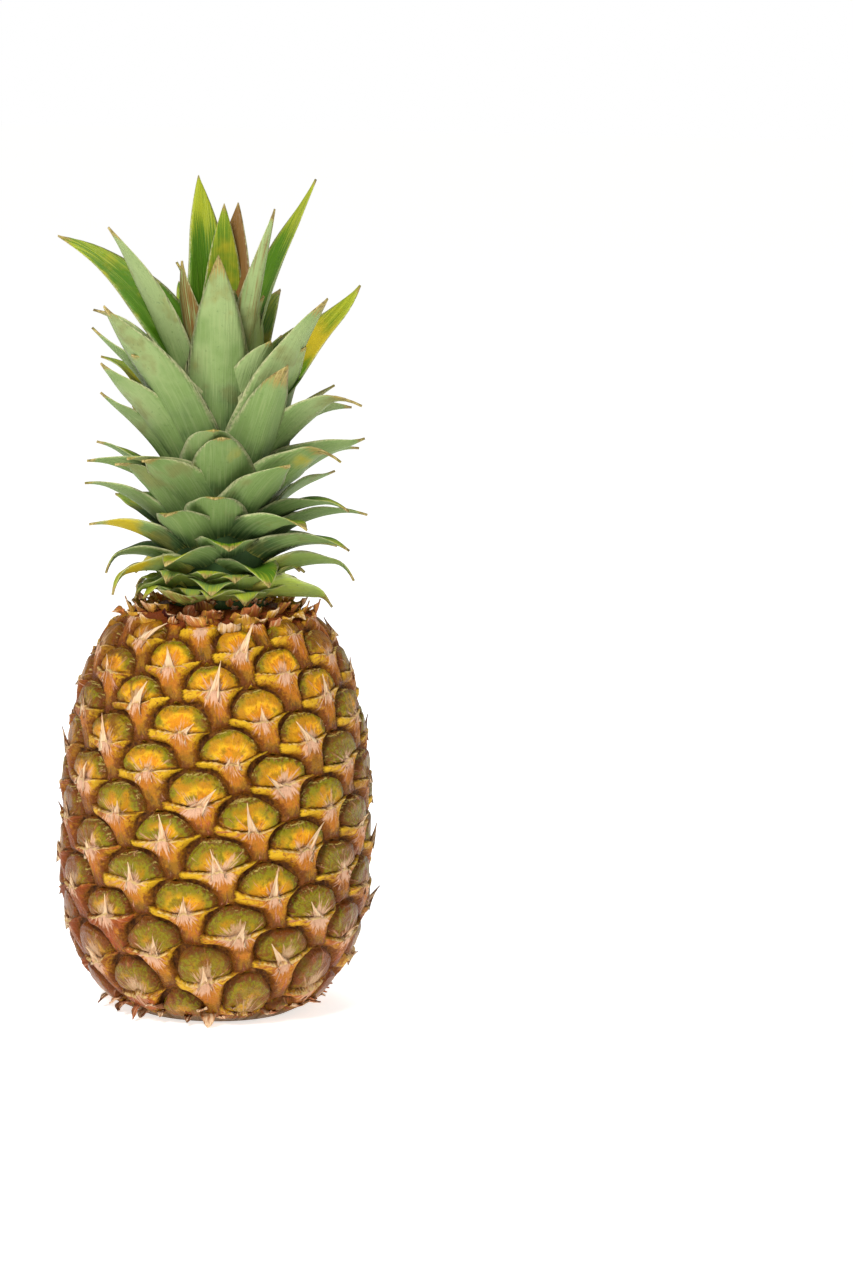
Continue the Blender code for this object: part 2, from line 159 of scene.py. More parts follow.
@dataclass(frozen=True)
class Pattern:
    """A noise pattern, stretched to run from 0 to 1. size_mm is one grain's, or None along fibres."""

    size_mm: float | None
    detail: float = 3.0
    roughness: float = 0.55


@dataclass(frozen=True)
class Tint:
    """A colour laid over those before it, where a mark, made ragged by a pattern, passes a soft threshold."""

    colour: str
    mark: str
    pattern: str = "fine"
    ragged: float = 0.5
    start: float = 0.3
    end: float = 0.7
    strength: float = 1.0


@dataclass
class Finish:
    """A material under construction."""

    name: str
    patterns: dict[str, Pattern]
    material: bpy.types.Material = field(init=False)
    marks: dict[str, Socket] = field(init=False, default_factory=dict)
    grains: dict[str, Socket] = field(init=False, default_factory=dict)

    def __post_init__(self) -> None:
        """Open an empty node material and lay out its patterns."""
        self.material = bpy.data.materials.new(self.name)
        self.material.use_nodes = True
        self.material.node_tree.nodes.clear()
        place = self.node("TexCoord", {}, "Object")
        fibre = self.node("Attribute", {}, "Vector", attribute_name="fibre")
        for name, pattern in self.patterns.items():
            scale = 1.0 if pattern.size_mm is None else per_metre(pattern.size_mm)
            inputs = {"Vector": fibre if pattern.size_mm is None else place, "Scale": scale,
                      "Detail": pattern.detail, "Roughness": pattern.roughness}
            noise = self.node("TexNoise", inputs)
            self.grains[name] = self.node("MapRange", {0: noise, 1: 0.3, 2: 0.7})

    def node(self, kind: str, inputs: dict[Any, Any], out: Any = 0, **settings: Any) -> Socket:
        """Add a shader node, set it and link it.

        Args:
            kind: type name after ShaderNode, such as Mix or TexNoise.
            inputs: input name or index with the output socket or the value that it gets.
            out: name or index of the output that is wanted.
            settings: properties of the node.

        Returns:
            The node's output, or None for a node that has none.
        """
        tree = self.material.node_tree
        node = tree.nodes.new("ShaderNode" + kind)
        for name, value in settings.items():
            setattr(node, name, value)
        for name, value in inputs.items():
            if isinstance(value, bpy.types.NodeSocket):
                tree.links.new(value, node.inputs[name])
            else:
                node.inputs[name].default_value = value
        return node.outputs[out] if len(node.outputs) else None

    def cover(self, tint: Tint) -> Socket:
        """Share of a tint: its mark plus ragged times the pattern less a half, eased from start to end.

        Args:
            tint: the tint.

        Returns:
            Socket of the share.
        """
        if tint.mark not in self.marks:
            self.marks[tint.mark] = self.node("Attribute", {}, "Fac", attribute_name=tint.mark)
        shift = self.node("Math", {0: self.grains[tint.pattern], 1: 0.5}, operation="SUBTRACT")
        terms = {0: shift, 1: tint.ragged, 2: self.marks[tint.mark]}
        value = self.node("Math", terms, operation="MULTIPLY_ADD")
        inputs = {0: value, 1: tint.start, 2: tint.end, 3: 0.0, 4: tint.strength}
        return self.node("MapRange", inputs, interpolation_type="SMOOTHSTEP")

    def lay(self, ground: str, tints: tuple[Tint, ...]) -> Any:
        """Lay tints over a ground colour, one after another.

        Args:
            ground: hex colour under them all.
            tints: the tints, the lowest first.

        Returns:
            Socket of the colour, or the ground's linear colour where there are none.
        """
        colour: Any = linear(ground)
        for tint in tints:
            inputs = {MIX_SHARE: self.cover(tint), MIX_FROM: colour, MIX_TO: linear(tint.colour)}
            colour = self.node("Mix", inputs, MIX_OUT, data_type="RGBA")
        return colour

    def close(self, colour: Any, roughness: Any, relief: dict[str, float], depth_mm: float,
              **constants: Any) -> bpy.types.Material:
        """Close the material with a Principled shader.

        Args:
            colour: socket or linear colour of the surface.
            roughness: socket or value.
            relief: weights of the patterns that raise the surface.
            depth_mm: height of that relief.
            constants: further Principled inputs with fixed values, spaces written as underscores.

        Returns:
            The finished material.
        """
        height: Any = 0.0
        for name, weight in relief.items():
            height = self.node("Math", {0: self.grains[name], 1: weight, 2: height}, operation="MULTIPLY_ADD")
        normal = self.node("Bump", {"Height": height, "Distance": depth_mm * MM, "Strength": 1.0}, "Normal")
        inputs = {key.replace("_", " "): value for key, value in constants.items()}
        inputs.update({"Base Color": colour, "Roughness": roughness, "Normal": normal})
        self.node("OutputMaterial", {"Surface": self.node("BsdfPrincipled", inputs)})
        return self.material


@dataclass(frozen=True)
class WaxyRind:
    """Ripe pineapple rind: glossy cuticle over the domes, satin fleshy bracts, corky red-brown grooves.

    Domes go from gold in the middle over olive to green at the beaded rim, and bracts from orange under the
    spine to lemon at the wings and olive-brown at the tail, all dusted with pinkish wax round the spines.
    Painted shade darkens the grooves to near black, the domes and bracts beside them, each dome under its lip
    and, with some duller colour, the fruit towards its left and right. The pale rim beads are partly painted
    glints.
    """

    ground: str = "#B67C0A"
    layers: tuple[Tint, ...] = (
        Tint("#F2B616", "amber", "coarse", 0.9, 0.35, 0.85, 0.9),
        Tint("#D07808", "amber", "fine", 0.7, 0.6, 1.1, 0.8),
        Tint("#807606", "olive", "coarse", 0.9, 0.2, 0.85),
        Tint("#5C640E", "green", "fine", 0.7, 0.25, 0.85),
        Tint("#2A4008", "green", "coarse", 0.6, 0.6, 1.2),
        # dull: darker domes towards the foot and the left and right as seen from the front, partly painted
        # shade
        Tint("#86540C", "dull", "coarse", 0.9, 0.3, 1.0, 0.85),
        Tint("#74400C", "olive", "fine", 1.6, 0.75, 1.3, 0.6),
        Tint("#D4A61A", "bract", "fine", 0.35, 0.35, 1.0),
        Tint("#B66C18", "warm", "fine", 0.9, 0.2, 0.8),
        Tint("#8A5E08", "tail", "coarse", 0.9, 0.25, 0.85, 0.9),
        Tint("#94601A", "bract", "fine", 1.7, 1.2, 1.75, 0.45),
        Tint("#54380E", "tail", "rays", 1.3, 0.75, 1.2, 0.85),
        Tint("#A0441E", "blush", "fibre", 1.3, 0.35, 1.05, 0.85),
        # side: painted shade, with some duller colour, towards the left and right, the foot and the shoulder
        Tint("#743608", "side", "coarse", 1.0, 0.35, 1.1, 0.7),
        # near: painted shade, darkening each dome and bract towards the grooves round it
        Tint("#662E04", "near", "fine", 0.9, 0.3, 1.0, 0.8),
        Tint("#DCAE8E", "wax", "fibre", 1.0, 0.3, 0.8, 0.9),
        Tint("#BE9468", "grey", "fibre", 1.1, 0.4, 1.0, 0.8),
        Tint("#CDB290", "grey", "speck", 1.0, 0.8, 1.2, 0.4),
        Tint("#E6C67E", "lip", "fine", 0.8, 0.3, 0.8, 0.8),
        # pale beads on the dome rims, partly the rim's own pale ridges, partly painted glints
        Tint("#B8A456", "bead_and_glint", "speck", 0.6, 0.3, 0.7, 0.8),
        # low: the grooves' own red-brown, deepened to near black by painted shade
        Tint("#84500E", "low", "fine", 0.8, 0.15, 0.75, 0.9),
        Tint("#401E08", "low", "fine", 0.5, 0.55, 1.05, 0.95),
        # painted shadow under the lip of each bract, laid on the dome
        Tint("#5E320C", "painted_lip_shadow", "fine", 0.5, 0.3, 0.9, 0.85),
        Tint("#7C3A18", "collar", "coarse", 0.7, 0.45, 0.9),
        Tint("#7A5A34", "foot", "coarse", 0.0, 0.4, 0.6),
        Tint("#4A2E14", "foot", "fine", 0.9, 0.85, 1.3),
    )

    def build(self) -> bpy.types.Material:
        """Layer the tints and dull the bracts and the grooves.

        Returns:
            The material.
        """
        patterns = {"fine": Pattern(1.5, 4.0, 0.65), "coarse": Pattern(6.0), "speck": Pattern(0.7, 2.0),
                    "fibre": Pattern(None, 3.0, 0.6), "rays": Pattern(None, 5.0, 0.75)}
        finish = Finish("waxy_pineapple_rind", patterns)
        colour = finish.lay(self.ground, self.layers)
        matt = finish.cover(Tint("", "matt", "fine", 0.5, 0.1, 0.9, 0.34))
        roughness = finish.node("Math", {0: matt, 1: 0.3}, operation="ADD")
        relief = {"fine": 0.4, "fibre": 0.5, "speck": 0.15}
        return finish.close(colour, roughness, relief, 0.75, Specular_IOR_Level=0.2, IOR=1.45)


@dataclass(frozen=True)
class DryPaper:
    """Dead bract tissue: thin, matt and papery, cream and pink, red-brown and grey where it has dried, and
    dark maroon as painted shade of the hollows between bracts.
    """

    ground: str = "#E3C49C"
    layers: tuple[Tint, ...] = (
        Tint("#C89468", "plain", "fibre", 1.0, 0.35, 0.9, 0.8),
        Tint("#C9962E", "gold", "fibre", 0.6, 0.3, 0.8),
        Tint("#B06038", "pink", "fibre", 0.8, 0.3, 0.9, 0.9),
        Tint("#7A4A28", "tone", "fibre", 0.9, 0.45, 1.0),
        Tint("#4C2A1A", "tone", "fine", 0.8, 0.8, 1.2),
        # hollow: dark maroon painted shade of the hollows between bracts
        Tint("#4A1210", "hollow", "fine", 0.3, 0.3, 0.8),
    )

    def build(self) -> bpy.types.Material:
        """Colour each blade by its own marks and draw fibres along it.

        Returns:
            The material.
        """
        finish = Finish("dry_papery_bract", {"fine": Pattern(1.2), "fibre": Pattern(None, 2.0)})
        colour = finish.lay(self.ground, self.layers)
        return finish.close(colour, 0.72, {"fibre": 0.8, "fine": 0.2}, 0.25, Specular_IOR_Level=0.3, IOR=1.4)


@dataclass(frozen=True)
class WaxyLeaf:
    """Bromeliad leaf: pale waxy bloom on the outer face, bare saturated green on the inner, dried tip."""

    ground: str = "#748C4E"
    layers: tuple[Tint, ...] = (
        Tint("#94A56C", "bloom", "cloud", 0.8, 0.25, 1.1, 0.95),
        Tint("#36522C", "shade", "cloud", 0.6, 0.22, 0.9, 0.9),
        Tint("#A9B84A", "fresh", "cloud", 0.4, 0.3, 1.0, 0.9),
        Tint("#8FA068", "streak", "bands", 0.9, 0.3, 1.1, 0.5),
        Tint("#76743F", "streak", "cloud", 1.6, 0.7, 1.25, 0.6),
        Tint("#4F6636", "streak", "fine", 1.4, 0.8, 1.25, 0.45),
        Tint("#4A7312", "inner", "fine", 0.0, 0.2, 0.8),
        # painted shade on the inner face towards the leaf base, where the leaves overlap
        Tint("#1D3606", "inner_painted_shade", "cloud", 0.3, 0.15, 0.9),
        Tint("#9DA426", "inner_tip", "bands", 0.5, 0.2, 0.9),
        Tint("#7E9C3C", "inner_vein", "fibre", 0.8, 0.4, 1.0, 0.45),
        Tint("#B9A422", "gold", "cloud", 0.7, 0.3, 0.9),
        Tint("#7A5728", "bronze", "bands", 0.6, 0.25, 0.8),
        Tint("#C6C692", "rim", "fine", 0.4, 0.4, 0.9, 0.8),
        Tint("#D8CB62", "base", "bands", 0.3, 0.2, 0.9),
        Tint("#9A8648", "dry", "bands", 0.7, 0.3, 0.9, 0.9),
        Tint("#5E4A2A", "dry", "fine", 0.8, 0.75, 1.35, 0.8),
        Tint("#CDB878", "dry", "fibre", 0.9, 0.9, 1.3, 0.6),
    )

    def build(self) -> bpy.types.Material:
        """Give the two faces their own greens and dry the tips.

        Returns:
            The material.
        """
        patterns = {"fine": Pattern(1.4, 4.0, 0.65), "cloud": Pattern(16.0), "fibre": Pattern(None, 2.0),
                    "bands": Pattern(None, 1.0, 0.3)}
        finish = Finish("waxy_bromeliad_leaf", patterns)
        colour = finish.lay(self.ground, self.layers)
        gloss = finish.cover(Tint("", "inner", "fine", 0.0, 0.0, 1.0, 0.18))
        roughness = finish.node("Math", {0: 0.58, 1: gloss}, operation="SUBTRACT")
        relief = {"fibre": 0.7, "fine": 0.3}
        return finish.close(colour, roughness, relief, 0.2, Specular_IOR_Level=0.2, IOR=1.45)


@dataclass(frozen=True)
class CutStalk:
    """Stringy stalk cut across: pale pith with brown fibre ends and a darker dried skin."""

    ground: str = "#C4A874"
    layers: tuple[Tint, ...] = (
        Tint("#7A5A30", "plain", "fine", 1.2, 0.7, 1.1),
        Tint("#5C4424", "reach", "fine", 0.2, 0.78, 1.0),
    )

    def build(self) -> bpy.types.Material:
        """Dot the cut with fibre ends and darken it towards its skin."""
        finish = Finish("cut_fibrous_stalk", {"fine": Pattern(1.1)})
        return finish.close(finish.lay(self.ground, self.layers), 0.85, {"fine": 1.0}, 0.4, IOR=1.4)


@dataclass(frozen=True)
class StudioPaper:
    """Seamless white paper, lit from behind as well, so that it stays white and keeps a soft shadow."""

    white: str = "#FBFBFA"
    glow: float = 0.68

    def build(self) -> bpy.types.Material:
        """Matt white with hardly any tooth, glowing a little.

        Returns:
            The material.
        """
        finish = Finish("seamless_white_paper", {"tooth": Pattern(2.0, 2.0)})
        return finish.close(linear(self.white), 0.95, {"tooth": 1.0}, 0.02, Specular_IOR_Level=0.0,
                            Emission_Color=linear(self.white), Emission_Strength=self.glow)


def new_piece(name: str, points: Array, faces: list[Array], material: bpy.types.Material) -> bpy.types.Object:
    """Put a surface into the scene.

    Args:
        name: name of the piece.
        points: places in millimetres, shape (points, 3).
        faces: arrays of point numbers, each with its own number of corners a face.
        material: finish of the piece.

    Returns:
        The object, at the origin.
    """
    corners = np.concatenate([part.ravel() for part in faces]).astype(np.int32)
    sizes = np.concatenate([np.full(len(part), part.shape[1]) for part in faces])
    starts = np.concatenate(((0,), np.cumsum(sizes)[:-1])).astype(np.int32)
    mesh = bpy.data.meshes.new(name)
    mesh.vertices.add(len(points))
    mesh.vertices.foreach_set("co", (points * MM).astype(np.float32).ravel())
    mesh.loops.add(len(corners))
    mesh.loops.foreach_set("vertex_index", corners)
    mesh.polygons.add(len(sizes))
    mesh.polygons.foreach_set("loop_start", starts)
    mesh.update(calc_edges=True)
    mesh.validate()
    mesh.shade_smooth()
    mesh.materials.append(material)
    piece = bpy.data.objects.new(name, mesh)
    bpy.context.scene.collection.objects.link(piece)
    return piece


def turned_faces(rings: int, sides: int) -> list[Array]:
    """Faces of a turned skin: walls from each ring of points up to the next, and a fan at either end.

    Args:
        rings: number of rings.
        sides: points a ring. The middle points of the first and of the last ring follow the rings.

    Returns:
        The walls as quads and the fans as triangles.
    """
    first = np.arange(rings - 1)[:, None] * sides
    column = np.arange(sides)
    after = (column + 1) % sides
    walls = np.stack((first + column, first + after, first + sides + after, first + sides + column), axis=-1)
    top, pole = (rings - 1) * sides, np.full(sides, rings * sides)
    fans = np.concatenate((np.stack((after, column, pole), axis=-1),
                           np.stack((top + column, top + after, pole + 1), axis=-1)))
    return [walls.reshape(-1, 4), fans]


def mark_piece(piece: bpy.types.Object, name: str, values: Array, domain: str = "POINT") -> None:
    """Store a number, or three, for each point, face or face corner of a piece.

    Args:
        piece: the object.
        name: name of the attribute.
        values: one value, or a row of three, for each element.
        domain: POINT, FACE or CORNER.
    """
    spatial = values.ndim > 1 and values.shape[-1] == 3
    attribute = piece.data.attributes.new(name, "FLOAT_VECTOR" if spatial else "FLOAT", domain)
    attribute.data.foreach_set("vector" if spatial else "value", values.astype(np.float32).ravel())


def place_piece(piece: bpy.types.Object, slot: Slot, *nodes: str) -> None:
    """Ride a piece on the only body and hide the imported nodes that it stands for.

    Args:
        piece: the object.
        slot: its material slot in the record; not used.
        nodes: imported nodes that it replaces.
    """
    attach(piece, "root")
    for node in nodes:
        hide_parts(node)
    LOG.info("%s: %d faces", piece.name, len(piece.data.polygons))


@dataclass
class BladeBatch:
    """Many thin blades of one kind, one row of each array a blade.

    A blade is a closed ring of points carried along a path. The ring runs over the outer face from the left
    edge to the right one and back over the inner face. A point of the outer face is the path, plus the side
    vector times half the width times the share across, plus the inner vector times the rise there. The inner
    face is the outer one moved by the thickness along the inner vector, and both meet at the edges.
    """

    path: Array
    side: Array
    half_width: Array
    rise: Array
    thickness: Array
    chance: Array
    fibre_mm: tuple[float, float]

    def surface(self) -> tuple[Array, list[Array], Array]:
        """Work out the closed blades.

        Returns:
            Points, face arrays and a flag for each face that is 1 on the inner side.
        """
        blades, stations, columns = self.rise.shape
        ring = 2 * columns - 2
        tangent = unit(np.gradient(self.path, axis=1))
        side = unit(self.side - tangent * np.sum(self.side * tangent, axis=-1, keepdims=True))
        inner = np.cross(tangent, side)
        across_mm = self.half_width[..., None] * np.linspace(-1.0, 1.0, columns)
        outer_face = (self.path[:, :, None] + side[:, :, None] * across_mm[..., None]
                      + inner[:, :, None] * self.rise[..., None])
        inner_face = outer_face + inner[:, :, None] * self.thickness[..., None]
        points = np.concatenate((outer_face, inner_face[:, :, -2:0:-1]), axis=2)

        first = (np.arange(blades)[:, None] * stations + np.arange(stations)) * ring
        column = np.arange(ring)
        after = (column + 1) % ring
        low, high = first[:, :-1, None], first[:, 1:, None]
        walls = np.stack((low + column, low + after, high + after, high + column), axis=-1)
        faces = [walls.reshape(-1, 4)]
        flags = [np.broadcast_to(column >= columns - 1, walls.shape[:-1]).ravel()]
        middle = np.arange(1, columns - 2)
        for row, order in ((0, (0, 3, 2, 1)), (stations - 1, (0, 1, 2, 3))):
            start = first[:, row, None]
            quads = np.stack((start + middle, start + middle + 1, start + ring - middle - 1,
                              start + ring - middle), axis=-1)
            start = first[:, row]
            ends = np.stack((np.stack((start, start + 1, start + ring - 1), axis=-1),
                             np.stack((start + columns - 2, start + columns - 1, start + columns), axis=-1)))
            turn = (0, 2, 1) if row == 0 else (0, 1, 2)
            faces += [quads[..., order].reshape(-1, 4), ends[..., turn].reshape(-1, 3)]
            flags += [np.zeros(blades * len(middle)), np.zeros(blades * 2)]
        return points.reshape(-1, 3), faces, np.concatenate(flags)

    def piece(self, name: str, material: bpy.types.Material, both: dict[str, Array],
              outer: dict[str, Array] | None = None,
              inner: dict[str, Array] | None = None) -> bpy.types.Object:
        """Make the piece and store its marks.

        Args:
            name: name of the piece.
            material: its finish.
            both: marks of both faces, one value a blade, or shares that fit blades, stations and ring points.
            outer: marks that are zero on the inner face.
            inner: marks that are zero on the outer face.

        Returns:
            The object.
        """
        points, faces, flags = self.surface()
        piece = new_piece(name, points, faces, material)
        blades, stations, columns = self.rise.shape
        share = np.linspace(-1.0, 1.0, columns)
        whole = np.concatenate((share, share[-2:0:-1]))
        step = np.linalg.norm(np.diff(self.path, axis=1), axis=-1)
        length = np.concatenate((np.zeros((blades, 1)), np.cumsum(step, axis=1)), axis=1)
        width_mm, length_mm = self.fibre_mm
        shape = (blades, stations, len(whole))
        fibre = np.stack((self.half_width[..., None] * whole / width_mm,
                          np.broadcast_to(length[..., None] / length_mm, shape),
                          np.broadcast_to(self.chance[:, None, None] * 53.0, shape)), axis=-1)
        mark_piece(piece, "fibre", fibre.reshape(-1, 3))
        mark_piece(piece, "plain", np.full(len(points), 0.5))
        corners = np.concatenate([part.ravel() for part in faces])
        inside = np.concatenate([np.repeat(flag, part.shape[1]) for flag, part in
                                 zip(np.split(flags, np.cumsum([len(part) for part in faces])[:-1]), faces)])
        for marks, weight in ((both, 1.0), (outer or {}, 1.0 - inside), (inner or {}, inside)):
            for key, values in marks.items():
                spread = values[:, None, None] if values.ndim == 1 else values
                flat = np.broadcast_to(spread, shape).ravel()
                mark_piece(piece, key, flat[corners] * weight, "CORNER")
        return piece


@dataclass
class EyeLattice:
    """Where the eyes sit: whole numbers up a golden spiral on the outline of the fruit, in millimetres.

    The outline is a rounded bowl under the widest height and a blunter shoulder above it. Eye n is turned
    by n golden turns and lies n spacings up the outline from the front eye. The eyes 8 and 13 further on
    are its neighbours, so (a, b), shares of those two steps, are coordinates inside one eye.
    """

    widest_radius: float = 62.1
    widest_height: float = 58.0
    foot_radius: float = 34.0
    top: float = 161.6
    collar_radius: float = 20.0
    lower_rounding: tuple[float, float] = (2.2, 0.70)
    upper_rounding: tuple[float, float] = (2.5, 0.37)
    front_eye_height: float = 108.4
    front_eye_azimuth: float = math.radians(5.7)
    spacing: float = 1.254
    low_stretch: float = 1.75
    step_a: int = 8
    step_b: int = 13
    bulge: float = 0.07
    shoulder: float = 0.03
    groove_depth: float = 4.2
    fade_height: float = 9.0
    wobble_mm: float = 0.8

    def __post_init__(self) -> None:
        """Count the eyes along the outline."""
        self.heights = self.top * 0.5 * (1.0 - np.cos(np.linspace(0.0, math.pi, 1201)))
        radii = self.radius(self.heights)
        run = np.hypot(np.diff(self.heights), np.diff(radii))
        middle = 0.5 * (self.heights[1:] + self.heights[:-1])
        mean_radius = 0.5 * (radii[1:] + radii[:-1])
        low = clamp((self.widest_radius / mean_radius) ** 3, 1.0, self.low_stretch)
        stretch = np.where(middle > self.widest_height, 1.0, low)
        numbers = np.concatenate(((0.0,), np.cumsum(run / (self.spacing * stretch))))
        self.numbers = numbers - np.interp(self.front_eye_height, self.heights, numbers)

    def radius(self, height: Array) -> Array:
        """Envelope radius: a power curve from the foot to the widest height and another up to the collar.

        Args:
            height: heights in millimetres.

        Returns:
            Radii in millimetres.
        """
        below = clamp((self.widest_height - height) / self.widest_height)
        above = clamp((height - self.widest_height) / (self.top - self.widest_height))
        low_power, low_root = self.lower_rounding
        top_power, top_root = self.upper_rounding
        bowl_width = self.widest_radius - self.foot_radius
        shoulder_width = self.widest_radius - self.collar_radius
        bowl = self.foot_radius + bowl_width * (1.0 - below ** low_power) ** low_root
        shoulder = self.collar_radius + shoulder_width * (1.0 - above ** top_power) ** top_root
        return np.where(height < self.widest_height, bowl, shoulder)

    def outline(self, number: Array) -> tuple[Array, Array, Array, Array]:
        """Radius, height, outward share and upward share of the envelope's normal at a fractional number.

        Args:
            number: eye numbers, fractions too.

        Returns:
            The four arrays.
        """
        height = np.interp(number, self.numbers, self.heights)
        low = np.interp(number - 0.6, self.numbers, self.heights)
        high = np.interp(number + 0.6, self.numbers, self.heights)
        rise = high - low
        widen = self.radius(high) - self.radius(low)
        length = np.hypot(rise, widen)
        return self.radius(height), height, rise / length, -widen / length

    def sway(self, share: Array) -> Array:
        """How far a cell's edge moves out, -0.5 to 0.5 along it: cos squared, and an S of sin times cos."""
        turn = math.pi * share
        return self.bulge * np.cos(turn) ** 2 + self.shoulder * np.sin(2.0 * turn) * np.cos(turn)

    def surface(self, number: Array, a: Array, b: Array, relief: Array) -> Array:
        """Places at (a, b) of the numbered eyes.

        Each edge sways, by sin squared of the share across it, so domes are round with upright sides and
        bracts are hollow below. A slow unevenness then shifts every point along the surface. The point
        lies under the envelope, along its normal, by the groove depth less the relief, and near the foot
        this depth fades out.

        Args:
            number: eye numbers.
            a: shares of the step of eight.
            b: shares of the step of thirteen.
            relief: height over the groove in millimetres.

        Returns:
            Places in millimetres.
        """
        along_a = a + self.sway(b) * np.sin(math.pi * a) ** 2
        along_b = b + self.sway(a) * np.sin(math.pi * b) ** 2
        turn_a = self.step_a * GOLDEN_TURN + 3 * TAU
        turn_b = self.step_b * GOLDEN_TURN + 5 * TAU
        azimuth = self.front_eye_azimuth + number * GOLDEN_TURN + along_a * turn_a + along_b * turn_b
        place = number + self.step_a * along_a + self.step_b * along_b
        radius, height, _, _ = self.outline(place)
        even = outward(azimuth) * radius[..., None] + UP * height[..., None]
        azimuth = azimuth + self.wobble_mm * ripple(even, 17.0, 41) / self.widest_radius
        shift = self.wobble_mm * ripple(even, 15.0, 42) / self.spacing
        place = place + shift * ease(height, 0.0, self.fade_height)
        radius, height, out, up = self.outline(place)
        cut = (self.groove_depth - relief) * clamp(height / self.fade_height)
        level = np.maximum(height - cut * up, 0.0)
        return outward(azimuth) * (radius - cut * out)[..., None] + UP * level[..., None]

    def stand(self, number: Array) -> tuple[Array, Array, Array, Array, Array]:
        """Azimuth of eyes, the envelope's points there, and its outward, sideways and rising directions.

        Args:
            number: eye numbers.

        Returns:
            The five arrays.
        """
        azimuth = self.front_eye_azimuth + number * GOLDEN_TURN
        radius, height, out, up = self.outline(number)
        away = outward(azimuth)
        point = away * radius[..., None] + UP * height[..., None]
        normal = away * out[..., None] + UP * up[..., None]
        rise = UP * out[..., None] - away * up[..., None]
        return azimuth, point, normal, sideways(azimuth), rise


@dataclass
class EyeTraits:
    """What differs from eye to eye, drawn once for every number that the skin uses."""

    first: int
    last: int
    seed: int = 5

    def __post_init__(self) -> None:
        """Draw the traits."""
        draw = np.random.default_rng(self.seed)
        count = self.last - self.first
        self.numbers = np.arange(self.first, self.last)
        self.chance = draw.uniform(0.0, 1.0, count)
        self.lip_tilt = draw.uniform(-0.09, 0.09, count)
        self.lip_shift = draw.uniform(-0.05, 0.04, count)
        self.dome_height = draw.uniform(-0.6, 0.5, count)
        self.wax = draw.uniform(0.5, 1.3, count)
        self.ripe = draw.normal(0.0, 0.17, count)
        self.blush = draw.normal(0.0, 0.16, count)
        self.grey = draw.normal(0.0, 0.28, count)

    def of(self, values: Array, number: Array) -> Array:
        """Trait of each numbered eye."""
        return values[np.asarray(number, dtype=int) - self.first]


